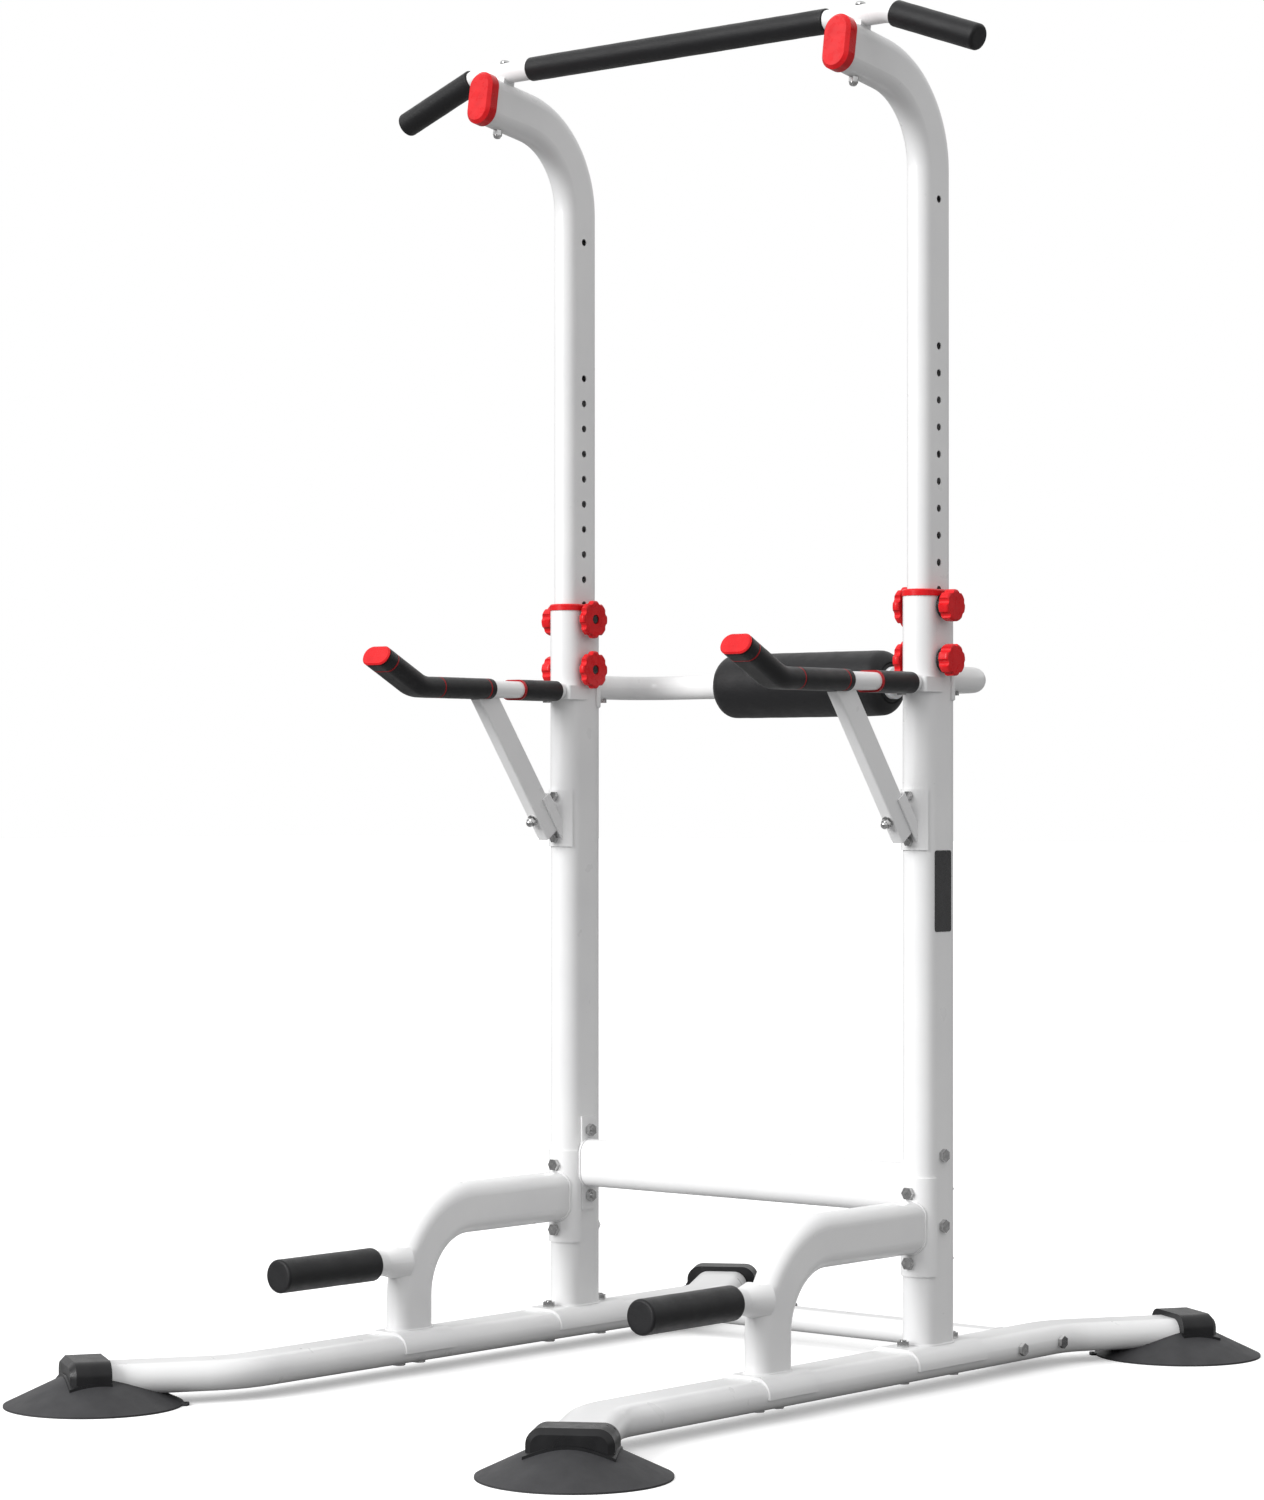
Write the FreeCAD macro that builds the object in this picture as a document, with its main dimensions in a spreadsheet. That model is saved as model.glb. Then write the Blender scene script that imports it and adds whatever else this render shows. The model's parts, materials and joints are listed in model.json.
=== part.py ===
import FreeCAD, Part
import math
import os
import re
import Sketcher

# Power tower: a height-adjustable pull-up and dip station on four suction feet.
# Millimetres, +X to the right seen from the front, +Y to the back, +Z up, origin on the
# floor in the middle of the footprint. Pieces are drawn about the uprights' own centre
# plane and then moved back by origin_back. Left-hand pieces are drawn, right-hand ones
# mirrored.

V = FreeCAD.Vector
doc = FreeCAD.newDocument("PowerTower")
dims = doc.addObject("Spreadsheet::Sheet", "Dims")

TABLE = """
origin_back 206         uprights' centre plane behind the middle of the footprint
half_spacing 347        centre of the tower to the centre of an upright
upright_wide 54         lower upright, flat-oval tube, across the tower
upright_deep 89         lower upright, front to back
upright_wall 1.5
upright_top 1168
inner_wide 40           telescoping tube, across
inner_deep 77           telescoping tube, front to back
inner_wall 1.5
inner_bottom 900
bend_corner 1921.4      height where the upper tube's two centre lines meet
bend_radius 140
nose_front 209          upper tube's front end, ahead of the upright
nose_top 1954.5         height of the centre of that end
hole_pitch 40
hole_size 11
hole_first 1537.8       topmost hole of the row
hole_single 1754.7      lone hole under the bend
knob_high 1153.6        upper clamp screw
knob_pitch 80           upper to lower clamp screw
boss_size 20
boss_long 6.5
screw_size 10
thread_bore 10.1
screw_gap 0.3           screw tip to telescoping tube
inner_knob_size 60
inner_knob_thick 11
outer_knob_size 48
outer_knob_thick 18
knob_start 34           inside face of a knob from the upright's centre
hub_size 38             hub of a knob, round the thread boss
hub_long 5.2
collar_height 10
collar_over 3
collar_depth 40
rail_wide 88            base rail, flat-oval tube lying down
rail_tall 44
rail_wall 1.5
rail_axis 38            height of its centre line
rail_radius 138
rail_reach 36           rail end beyond the cup's centre
rail_end_half 476.08    rail end, across
rail_end_front 953.53
rail_end_rear 541.53
toe_front 747           where the front toe line meets the straight line
toe_rear 335
foot_half 457           centre of a suction cup, across
foot_front 923
foot_rear 511
cup_size 257
cup_rim 2.5
cup_top 42.6
cup_top_size 88
shoe_wide 116
shoe_front 42           shoe face ahead of the cup's centre
shoe_back 17
shoe_top 68
shoe_low 12
lip_over 2.5            lip of a foot cap, past its sides
lip_thick 4
saddle_long 170         saddle under an upright
saddle_thick 4
saddle_low 34
strap_thick 3           curved straps round the uprights
frame_height 238        centre of the push-up frame's top tube
frame_wide 44           its tube, across
frame_deep 79           its tube, front to back
frame_wall 1.5
frame_leg 383           centre of its leg, ahead of the upright
frame_radius 125
frame_strap_low 165
frame_strap_high 310
frame_bolt_low 185
frame_bolt_high 288
grip_height 168         push-up grip
grip_tube 38
grip_foam 50
grip_start 463
grip_end 662
crossbar_deep 44
crossbar_tall 75
crossbar_height 290
crossbar_bolt 52        bolt above and below its centre
plate_deep 34
plate_tall 148
brace_bar_deep 60       rear cross tube on the floor rails, front to back
brace_bar_tall 36
brace_bar_back 233
brace_bar_bolt 53
arm_height 1039.3
arm_wide 48
arm_tall 26
arm_wall 1.5
arm_corner 367          where the level and rising lines of an arm meet
arm_tip 452             tip of the rising part, ahead of the upright
arm_tip_height 1083
arm_radius 60
arm_strap_tall 22
arm_foam_wide 54
arm_foam_tall 32
arm_ring_thick 2
arm_ring_back 20        last ring, behind the arm's tip
strut_wide 20           brace under an arm, across
strut_deep 40
strut_top_front 219
strut_top_height 1034
strut_low_front 60
strut_low_height 815
strut_length 270.6
strut_bolt 40           bolt above the brace's low end
back_height 1047.5
back_bar_size 38
back_bar_wall 1.5
back_bar_reach 160
back_bar_radius 65
roller_size 102
roller_long 325
roller_core_size 46
roller_gap 0.1
ring_size 50
ring_long 8
bar_size 32
bar_wall 2
bar_corner 399          where the pull-up bar starts to drop
bar_end_half 553
bar_drop 56.4           drop of the bar's end
bar_radius 60
bar_front 168
bar_height 2002.1
bar_foam_size 37
bar_foam_half 289
outer_foam_size 38.5
outer_foam_long 156
label_tall 120
label_wide 41
"""

names = set()
for row, line in enumerate((t for t in TABLE.splitlines() if t.strip()), 1):
    name, number = line.split()[:2]
    dims.set("A%d" % row, name)
    dims.set("B%d" % row, number)
    dims.set("C%d" % row, " ".join(line.split()[2:]))
    dims.setAlias("B%d" % row, name)
    names.add(name)
doc.recompute()

TURN = {
    "x": FreeCAD.Rotation(V(0, 1, 0), 90),
    "-x": FreeCAD.Rotation(V(0, 1, 0), -90),
    "y": FreeCAD.Rotation(V(1, 0, 0), -90),
    "-y": FreeCAD.Rotation(V(1, 0, 0), 90),
    "z": FreeCAD.Rotation(),
    "-z": FreeCAD.Rotation(V(1, 0, 0), 180),
}
FRONT = FreeCAD.Rotation(V(1, 0, 0), 90)        # a sketch standing across the tower
SIDE = FreeCAD.Rotation(V(1, 1, 1), 120)        # a sketch standing front to back
FLAT = FreeCAD.Rotation()                       # a sketch lying flat
parts = {}
TOE = "atan((rail_end_half - half_spacing) / (rail_end_front - toe_front))"
NOSE = "atan((nose_top - bend_corner) / nose_front)"
ARM = "atan((arm_tip_height - arm_height) / (arm_tip - arm_corner))"
STRUT = "atan((strut_top_front - strut_low_front) / (strut_top_height - strut_low_height))"
DROP = "atan(bar_drop / (bar_end_half - bar_corner))"


# ---------------------------------------------------------------- drawing helpers
def full(expr):
    """The expression with every table name written out as a sheet reference."""
    swap = lambda m: "Dims." + m.group(0) if m.group(0) in names else m.group(0)
    return re.sub(r"[a-z]+(?:_[a-z]+)*", swap, str(expr))


def value(expr):
    """What an expression comes to, as a number."""
    found = dims.evalExpression(full(expr))
    return float(getattr(found, "Value", found))


def bind(obj, **props):
    """Ties an object's properties to the table."""
    for prop, expr in props.items():
        obj.setExpression(prop.replace("__", "."), full(expr))
    return obj


def put(obj, x=0, y=0, z=0, turn=FLAT):
    """Places an object; its position follows the table."""
    obj.Placement = FreeCAD.Placement(V(value(x), value(y), value(z)), turn)
    bind(obj, Placement__Base__x=x, Placement__Base__y=y, Placement__Base__z=z)
    return obj


def add(kind, label):
    """A new document object with that label."""
    obj = doc.addObject(kind, label)
    obj.Label = label
    return obj


def cylinder(label, radius, height, x=0, y=0, z=0, along="z"):
    """A round bar that starts at a point and runs along a direction."""
    obj = bind(add("Part::Cylinder", label), Radius=radius, Height=height)
    return put(obj, x, y, z, TURN.get(along, along) if isinstance(along, str) else along)


def cone(label, radius_a, radius_b, height, x=0, y=0, z=0, along="z"):
    """A cone frustum."""
    obj = bind(add("Part::Cone", label), Radius1=radius_a, Radius2=radius_b, Height=height)
    return put(obj, x, y, z, TURN[along])


def box(label, long, deep, tall, x=0, y=0, z=0):
    """A block centred across x and y, standing on z."""
    obj = bind(add("Part::Box", label), Length=long, Width=deep, Height=tall)
    return put(obj, "(%s) - (%s) / 2" % (x, long), "(%s) - (%s) / 2" % (y, deep), z)


def hexagon(label, flats, height, x, y, z, along):
    """A hexagonal prism by its width across flats."""
    obj = add("Part::Prism", label)
    obj.Polygon = 6
    bind(obj, Circumradius="(%s) / sqrt(3)" % flats, Height=height)
    return put(obj, x, y, z, TURN.get(along, along) if isinstance(along, str) else along)


def fuse(label, *shapes):
    """One solid out of several."""
    obj = add("Part::MultiFuse", label)
    obj.Shapes = list(shapes)
    obj.Refine = True
    return obj


def cut(label, base, *tools):
    """The base with every tool taken out of it."""
    obj = add("Part::Cut", label)
    obj.Base = base
    obj.Tool = tools[0] if len(tools) == 1 else fuse(label + "_tools", *tools)
    obj.Refine = True
    return obj


def common(label, one, other):
    """What two solids share."""
    obj = add("Part::Common", label)
    obj.Base, obj.Tool = one, other
    obj.Refine = True
    return obj


def group(label, *shapes):
    """Separate solids that share one node."""
    obj = add("Part::Compound", label)
    obj.Links = list(shapes)
    return obj


def turned(label, source, x, y, z, turn):
    """A piece drawn at the origin, then turned and moved as a whole."""
    return put(group(label, source), x, y, z, turn)


def mirror(label, source, normal=(1, 0, 0), base=(0, 0, 0)):
    """The source reflected in a plane."""
    obj = add("Part::Mirroring", label)
    obj.Source = source
    obj.Normal = V(*normal)
    obj.Base = V(*base)
    return obj


def flip_y(label, source):
    """The source reflected front to back, midway between the feet."""
    obj = mirror(label, source, (0, 1, 0), (0, value("(foot_rear - foot_front) / 2"), 0))
    return bind(obj, Base__y="(foot_rear - foot_front) / 2")


def part(label, obj):
    """Sets a drawn shape in its place in the machine, as a finished part."""
    obj.Label = label + "_shape"
    parts[label] = put(group(label, obj), 0, "origin_back", 0)


def pair(name, source):
    """A finished left-hand part and its mirrored right-hand twin."""
    part("left_" + name, source)
    part("right_" + name, mirror("right_" + name, source))


def both(label, source):
    """Left and right solids in one node."""
    part(label, group(label + "_pair", source, mirror(label + "_right", source)))


def pin(sketch, kind, geo, point, expr):
    """Fixes a sketch point's coordinate, measured from the sketch's origin."""
    here = value(expr)
    ends = (-1, 1, geo, point) if here >= 0 else (geo, point, -1, 1)
    index = sketch.addConstraint(Sketcher.Constraint(kind, *ends, abs(here)))
    text = "(%s)" % expr if here >= 0 else "-(%s)" % expr
    sketch.setExpression("Constraints[%d]" % index, full(text))


def oval_sketch(label, wide, deep, x=0, y=0, z=0, turn=FLAT):
    """A flat-oval outline: two half circles joined by straight sides."""
    sketch = put(add("Sketcher::SketchObject", label), x, y, z, turn)
    r = value(wide) / 2
    h = value(deep) / 2 - r
    up = V(0, 0, 1)
    sketch.addGeometry([
        Part.ArcOfCircle(Part.Circle(V(0, h, 0), up, r), 0, math.pi),
        Part.LineSegment(V(-r, h, 0), V(-r, -h, 0)),
        Part.ArcOfCircle(Part.Circle(V(0, -h, 0), up, r), math.pi, 2 * math.pi),
        Part.LineSegment(V(r, -h, 0), V(r, h, 0)),
    ], False)
    for one in range(4):
        sketch.addConstraint(Sketcher.Constraint("Tangent", one, 2, (one + 1) % 4, 1))
    sketch.addConstraint(Sketcher.Constraint("PointOnObject", 0, 3, -2))
    sketch.addConstraint(Sketcher.Constraint("Symmetric", 0, 3, 2, 3, -1, 1))
    sketch.addConstraint(Sketcher.Constraint("Equal", 0, 2))
    size = sketch.addConstraint(Sketcher.Constraint("Radius", 0, r))
    sketch.setExpression("Constraints[%d]" % size, full("(%s) / 2" % wide))
    span = sketch.addConstraint(Sketcher.Constraint("DistanceY", 2, 3, 0, 3, 2 * h))
    sketch.setExpression("Constraints[%d]" % span, full("(%s) - (%s)" % (deep, wide)))
    return sketch


def extrude(label, sketch, long, both_ways=False):
    """A sketch pushed out along its normal."""
    obj = add("Part::Extrusion", label)
    obj.Base = sketch
    obj.DirMode = "Normal"
    obj.Solid = True
    obj.Symmetric = both_ways
    return bind(obj, LengthFwd=long)


def oval(label, wide, deep, long, x=0, y=0, z=0, turn=FLAT, both_ways=False):
    """A flat-oval bar."""
    outline = oval_sketch(label + "_outline", wide, deep, x, y, z, turn)
    return extrude(label, outline, long, both_ways)


def path(label, corners, radii, turn, x=0, y=0, z=0):
    """A line of straights and bends through virtual corners given in the sketch plane."""
    sketch = put(add("Sketcher::SketchObject", label), x, y, z, turn)
    spots = [V(value(a), value(b), 0) for a, b in corners]
    starts, bends = [spots[0]], []
    for i, expr in enumerate(radii, 1):
        one = (spots[i - 1] - spots[i]).normalize()
        two = (spots[i + 1] - spots[i]).normalize()
        angle = one.getAngle(two)
        back = value(expr) / math.tan(angle / 2)
        a, b = spots[i] + one * back, spots[i] + two * back
        centre = spots[i] + (one + two).normalize() * (value(expr) / math.sin(angle / 2))
        middle = centre + (spots[i] - centre).normalize() * value(expr)
        bends.append((a, middle, b))
        starts += [a, b]
    starts.append(spots[-1])
    shapes = []
    for i, (a, middle, b) in enumerate(bends):
        shapes += [Part.LineSegment(starts[2 * i], a), Part.Arc(a, middle, b)]
    shapes.append(Part.LineSegment(starts[-2], spots[-1]))
    lines, arcs = range(0, len(shapes), 2), range(1, len(shapes), 2)
    sketch.addGeometry(shapes, False)
    for arc in arcs:
        for line, end in ((arc - 1, 2), (arc + 1, 1)):
            point = sketch.getPoint(line, end)
            near = 1 if (sketch.getPoint(arc, 1) - point).Length < 0.001 else 2
            sketch.addConstraint(Sketcher.Constraint("Tangent", line, end, arc, near))
        index = sketch.addConstraint(Sketcher.Constraint("Radius", arc,
                                                         value(radii[arc // 2])))
        sketch.setExpression("Constraints[%d]" % index, full(radii[arc // 2]))
    for i in range(1, len(spots) - 1):
        geo = sketch.addGeometry(Part.Point(spots[i]), True)
        sketch.addConstraint(Sketcher.Constraint("PointOnObject", geo, 1, lines[i - 1]))
        sketch.addConstraint(Sketcher.Constraint("PointOnObject", geo, 1, lines[i]))
        pin(sketch, "DistanceX", geo, 1, corners[i][0])
        pin(sketch, "DistanceY", geo, 1, corners[i][1])
    for geo, end, spot in ((0, 1, corners[0]), (lines[-1], 2, corners[-1])):
        pin(sketch, "DistanceX", geo, end, spot[0])
        pin(sketch, "DistanceY", geo, end, spot[1])
    return sketch, len(shapes)


def sweep(label, outline, track):
    """An outline carried along a path."""
    sketch, count = track
    obj = add("Part::Sweep", label)
    obj.Sections = [outline]
    obj.Spine = (sketch, ["Edge%d" % (i + 1) for i in range(count)])
    obj.Solid = True
    obj.Frenet = False
    return obj


def bevel(label, source, size, wanted, kind="Part::Chamfer"):
    """Breaks or rounds the edges that pass a test on their middle point."""
    doc.recompute()
    obj = add(kind, label)
    obj.Base = source
    edges = []
    for number, edge in enumerate(source.Shape.Edges, 1):
        middle = edge.valueAt((edge.FirstParameter + edge.LastParameter) / 2)
        if wanted(edge, middle):
            edges.append((number, value(size), value(size)))
    obj.Edges = edges
    return obj


def shell(label, wide, deep, thick, long, x, y, z, turn, keep):
    """A strap bent over part of a flat-oval tube."""
    outer = oval(label + "_outer", "(%s) + 2 * (%s)" % (wide, thick),
                 "(%s) + 2 * (%s)" % (deep, thick), long, x, y, z, turn, True)
    inner = oval(label + "_inner", wide, deep, "(%s) + 2" % long, x, y, z, turn, True)
    return common(label, cut(label + "_ring", outer, inner), keep)


def hex_bolt(label, x, y, z, along, size, long, flats, head):
    """A hexagon bolt: its head sits behind the start point, its shank runs along."""
    turn = TURN[along]
    back = turn.multVec(V(0, 0, -1))
    place = ["(%s) + (%g) * (%s)" % (c, k, head) for c, k in zip((x, y, z), back)]
    return fuse(label, hexagon(label + "_head", flats, head, *place, along),
                cylinder(label + "_shank", "(%s) / 2" % size, long, x, y, z, along))


def hex_nut(label, x, y, z, along, size, flats, tall):
    """A hexagon nut that starts at the point and runs along."""
    body = hexagon(label + "_body", flats, tall, x, y, z, along)
    return cut(label, body, cylinder(label + "_bore", "(%s) / 2" % size, tall, x, y, z, along))


# ---------------------------------------------------------------- base rails and feet
SIDES = (("front", "-foot_front"), ("rear", "foot_rear"))
rail_track = path(
    "rail_line",
    [("-rail_end_half", "-rail_end_front"), ("-half_spacing", "-toe_front"),
     ("-half_spacing", "toe_rear"), ("-rail_end_half", "rail_end_rear")],
    ["rail_radius", "rail_radius"], FLAT, z="rail_axis")
toe_turn = FreeCAD.Rotation(V(0, 0, 1), -value(TOE))
lying = toe_turn.multiply(FRONT).multiply(FreeCAD.Rotation(V(0, 0, 1), 90))
rail_at = ("-rail_end_half", "-rail_end_front", "rail_axis")
rail_outside = sweep("rail_outside", oval_sketch(
    "rail_outline", "rail_tall", "rail_wide", *rail_at, lying), rail_track)
rail_inside = sweep("rail_inside", oval_sketch(
    "rail_bore_outline", "rail_tall - 2 * rail_wall", "rail_wide - 2 * rail_wall",
    *rail_at, lying), rail_track)
weld_nuts = [cylinder("foot_weld_nut_" + end, 9, 8.5, "-foot_half", y,
                      "rail_axis - rail_tall / 2 + rail_wall - 0.5")
             for end, y in SIDES]
rail_holes = [cylinder("foot_hole_" + end, 5.05, 30, "-foot_half", y, 5) for end, y in SIDES]
leg_bolts = ["-frame_leg - 22", "-frame_leg + 22"]
base_bolt_places = ["-62", "62"] + leg_bolts
rail_holes += [cylinder("base_hole_%d" % i, 5.25, 70, "-half_spacing", y, 2)
               for i, y in enumerate(base_bolt_places)]
bar_bolt_places = ["brace_bar_back - brace_bar_bolt", "brace_bar_back + brace_bar_bolt"]
rail_holes += [cylinder("cross_hole_%d" % i, 5.25, 110, "-half_spacing - 55", y,
                        "rail_axis", "x") for i, y in enumerate(bar_bolt_places)]
rail = cut("rail_tube", rail_outside, rail_inside)
pair("base_rail", cut("left_base_rail", fuse("rail_welded", rail, *weld_nuts), *rail_holes))

shoe_long = "(shoe_front + shoe_back)"
shoe_mid = "(shoe_back - shoe_front) / 2"
shoe_block = box("shoe_block", "shoe_wide", shoe_long, "shoe_top - shoe_low",
                 0, shoe_mid, "shoe_low")
shoe_body = bevel("shoe_body", shoe_block, 22, lambda e, m: m.z > value("shoe_top") - 0.1
                  and abs(e.tangentAt(e.FirstParameter).y) > 0.9, "Part::Fillet")
shoe_bevelled = bevel(
    "shoe_bevelled", shoe_body, 8,
    lambda e, m: m.y < -value("shoe_front") + 0.1 and m.z > value("shoe_low") + 1)
shoe_socket = oval("shoe_socket", "rail_tall + 0.2", "rail_wide + 0.2", 100, 0,
                   "49.9 - rail_reach", "rail_axis",
                   FRONT.multiply(FreeCAD.Rotation(V(0, 0, 1), 90)), True)
cup_radius = "(cup_size / 2)"
cone_tall = "cup_top - cup_rim"
lip = cut(
    "shoe_lip",
    common("lip_sheet", cone("lip_cone", cup_radius, "cup_top_size / 2", cone_tall,
                             z="cup_rim + lip_thick"),
           box("lip_keep", "shoe_wide + 2 * lip_over", shoe_long + " + lip_over", 60, 0,
               shoe_mid + " - lip_over / 2", 0)),
    cone("lip_under", cup_radius, "cup_top_size / 2", cone_tall, z="cup_rim + 0.15"),
    cylinder("lip_floor", cup_radius, "cup_rim + 8"))
shoe = cut("front_left_foot_cap", fuse("shoe_lipped", shoe_bevelled, lip), shoe_socket,
           cylinder("shoe_hole", 5.25, 30, 0, 0, 0))
shoe.Placement = FreeCAD.Placement(V(0, 0, 0), toe_turn)
put(shoe, "-foot_half", "-foot_front", 0, toe_turn)
shoe_socket.Label = "shoe_socket"

dome = fuse("cup_dome", cylinder("cup_edge", cup_radius, "cup_rim"),
            cone("cup_cone", cup_radius, "cup_top_size / 2", cone_tall, z="cup_rim"))
hollow = cut(
    "cup_hollow",
    cone("cup_inside", "cup_size / 2 - 7", "cup_top_size / 2 - 4", "cup_top - 6", z=-0.01),
    box("cup_core", "shoe_wide + 12", "shoe_front + shoe_back + 12", 60, 0, shoe_mid, -10),
    box("cup_channel_core", "rail_wide + 12", 130, 60, 0, 65, -10))
slab = cylinder("cup_underside", "cup_size / 2 - 7", 2, z=-0.01)
seat = box("cup_seat", "shoe_wide", shoe_long, 60, 0, shoe_mid, "shoe_low")
channel = oval("cup_channel", "rail_tall + 2", "rail_wide + 2", 160, 0,
               "shoe_back - 0.5 + 80", "rail_axis",
               FRONT.multiply(FreeCAD.Rotation(V(0, 0, 1), 90)), True)
head_room = cylinder("cup_head_room", 11, 9, z=-1)
cup_hole = cylinder("cup_hole", 5.25, 20, z=0)
tab_turn = FreeCAD.Rotation(V(0, 0, 1), 77)
cup_body = cut("cup_body", dome, hollow, slab, seat, channel, head_room, cup_hole)
tab = common("cup_tab", box("tab_block", 22, 40, 3.5, 0, "-cup_size / 2 - 2", 0),
             cylinder("tab_round", 26, 10, 0, "-cup_size / 2 + 17", 0))
tab_slot = box("tab_slot", 11, 4, 10, 0, "-cup_size / 2 - 3.5", -1)
tab_placed = cut("tab_placed", tab, tab_slot,
                 cylinder("tab_clear", "cup_size / 2 - 4", 10, z=-1))
tab_placed.Placement = FreeCAD.Placement(V(0, 0, 0), FreeCAD.Rotation(V(0, 0, 1), 162))
cup = put(fuse("front_left_suction_cup", cup_body, tab_placed),
          "-foot_half", "-foot_front", 0, toe_turn)
cup_bolt = put(hex_bolt("cup_bolt", 0, 0, 8, "z", "screw_size", 18, 17, 6.4),
               "-foot_half", "-foot_front", 0)
bolts = []
for what, source in (("foot_cap", shoe), ("suction_cup", cup), ("cup_bolt", cup_bolt)):
    rear = flip_y("rear_left_" + what, source)
    quads = {"front_left_": source, "rear_left_": rear}
    quads["front_right_"] = mirror("front_right_" + what, source)
    quads["rear_right_"] = mirror("rear_right_" + what, rear)
    if what == "cup_bolt":
        part("cup_bolts", group("cup_bolts", *quads.values()))
    else:
        for corner, obj in quads.items():
            part(corner + what, obj)

# ---------------------------------------------------------------- rear cross tube
cross_end = "half_spacing - rail_wide / 2"
half_reach = box("cross_strap_keep", "40", "2 * brace_bar_bolt + 27", 30,
                 "-half_spacing + rail_wide / 2 - 8", "brace_bar_back", "rail_axis - 15")
cross_strap = shell("cross_strap", "rail_tall", "rail_wide", "strap_thick", 135,
                    "-half_spacing", "brace_bar_back", "rail_axis",
                    FRONT.multiply(FreeCAD.Rotation(V(0, 0, 1), 90)), half_reach)
cross_bore = cylinder("cross_strap_hole_a", 5.25, 30, "-half_spacing + 30",
                      bar_bolt_places[0], "rail_axis", "x")
cross_bore_b = cylinder("cross_strap_hole_b", 5.25, 30, "-half_spacing + 30",
                        bar_bolt_places[1], "rail_axis", "x")
strap_left = cut("cross_strap_left", cross_strap, cross_bore, cross_bore_b)
lie_x = FreeCAD.Rotation(V(0, 0, 1), 90).multiply(FRONT)
cross_outer = oval("cross_outer", "brace_bar_tall", "brace_bar_deep", "2 * (%s)" % cross_end,
                   0, "brace_bar_back", "rail_axis",
                   lie_x.multiply(FreeCAD.Rotation(V(0, 0, 1), 90)), True)
cross_inner = oval("cross_inner", "brace_bar_tall - 4", "brace_bar_deep - 4",
                   "2 * (%s) + 20" % cross_end, 0, "brace_bar_back", "rail_axis",
                   lie_x.multiply(FreeCAD.Rotation(V(0, 0, 1), 90)), True)
cross_tube = cut("cross_tube", cross_outer, cross_inner)
part("base_cross_tube", fuse("base_cross_tube", cross_tube, strap_left,
                             mirror("cross_strap_right", strap_left)))

# ---------------------------------------------------------------- uprights
upright_x = "-half_spacing"
tube = oval("upright_outer", "upright_wide", "upright_deep", "upright_top - 46",
            upright_x, 0, 46)
bore = oval("upright_bore", "upright_wide - 2 * upright_wall",
            "upright_deep - 2 * upright_wall", "upright_top", upright_x, 0, 40)
rail_shape = oval("rail_shape", "rail_tall", "rail_wide", 300, upright_x, 0, "rail_axis",
                  FRONT.multiply(FreeCAD.Rotation(V(0, 0, 1), 90)), True)
saddle_keep = box("saddle_keep", 120, "saddle_long", 60, upright_x, 0, "saddle_low")
saddle = shell("upright_saddle", "rail_tall", "rail_wide", "saddle_thick", "saddle_long",
               upright_x, 0, "rail_axis",
               FRONT.multiply(FreeCAD.Rotation(V(0, 0, 1), 90)), saddle_keep)
bosses, threads = [], []
for level, z in (("high", "knob_high"), ("low", "knob_high - knob_pitch")):
    for side, along, sign in (("outer", "-x", -1), ("inner", "x", 1)):
        tag = "%s_%s" % (side, level)
        start = "-half_spacing + (%d) * (upright_wide / 2 - 0.5)" % sign
        bosses.append(cylinder("boss_" + tag, "boss_size / 2", "boss_long + 0.5",
                               start, 0, z, along))
        threads.append(cylinder("thread_" + tag, "thread_bore / 2", 40,
                                upright_x, 0, z, along))
strap_wide = "upright_wide + 2 * strap_thick"
arm_strap = bevel("arm_strap", box(
    "arm_strap_blank", strap_wide, 44, "arm_strap_tall", upright_x,
    "22 - upright_deep / 2 - strap_thick", "arm_height - arm_tall / 2"), 5,
    lambda e, m: m.y < value("-upright_deep / 2 - strap_thick") + 0.1 and abs(
        e.tangentAt(e.FirstParameter).z) > 0.9, "Part::Fillet")
stub_turn = FRONT.multiply(FreeCAD.Rotation(V(0, 0, 1), 90))
arm_stub = cut(
    "arm_stub",
    oval("arm_stub_outer", "arm_tall - 2 * arm_wall - 0.4", "arm_wide - 2 * arm_wall - 0.4",
         72, upright_x, "-upright_deep / 2 + 14", "arm_height", stub_turn),
    oval("arm_stub_inner", "arm_tall - 2 * arm_wall - 6", "arm_wide - 2 * arm_wall - 6",
         100, upright_x, "-upright_deep / 2 + 20", "arm_height", stub_turn))
arm_boss = cylinder("arm_boss", 7, 9, upright_x, -66, "arm_height - arm_tall / 2 + 3")
back_strap = shell("back_strap", "upright_wide", "upright_deep", "strap_thick", 52,
                   upright_x, 0, "back_height - 6", FLAT,
                   box("back_strap_keep", 100, 60, 80, upright_x, "20 + 30",
                       "back_height - 45"))
back_stub = cut(
    "back_stub",
    cylinder("back_stub_outer", "back_bar_size / 2 - back_bar_wall - 0.2", 58,
             upright_x, "upright_deep / 2 - 11", "back_height", "y"),
    cylinder("back_stub_inner", "back_bar_size / 2 - back_bar_wall - 3.2", 80,
             upright_x, "upright_deep / 2 - 16", "back_height", "y"))
back_boss = cylinder("back_boss", 7, 8, upright_x, 67, "back_height - back_bar_size / 2 + 4.3")
screw_holes = [
    cylinder("arm_screw_hole", 4, 30, upright_x, -66, "arm_height - 20"),
    cylinder("back_screw_hole", 4, 22, upright_x, 67, "back_height - 26")]
body_holes = []
for level in ("frame_bolt_low", "frame_bolt_high"):
    body_holes.append(cylinder("hole_" + level, 5.25, 120, upright_x, -60, level, "y"))
for level, z in (("low", "crossbar_height - crossbar_bolt"),
                 ("high", "crossbar_height + crossbar_bolt")):
    body_holes.append(cylinder("hole_crossbar_" + level, 5.25, 80,
                               "-half_spacing - 40", 0, z, "x"))
for i, y in enumerate(("-62", "62")):
    body_holes.append(cylinder("hole_saddle_%d" % i, 5.25, 30, upright_x, y, 50))
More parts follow.
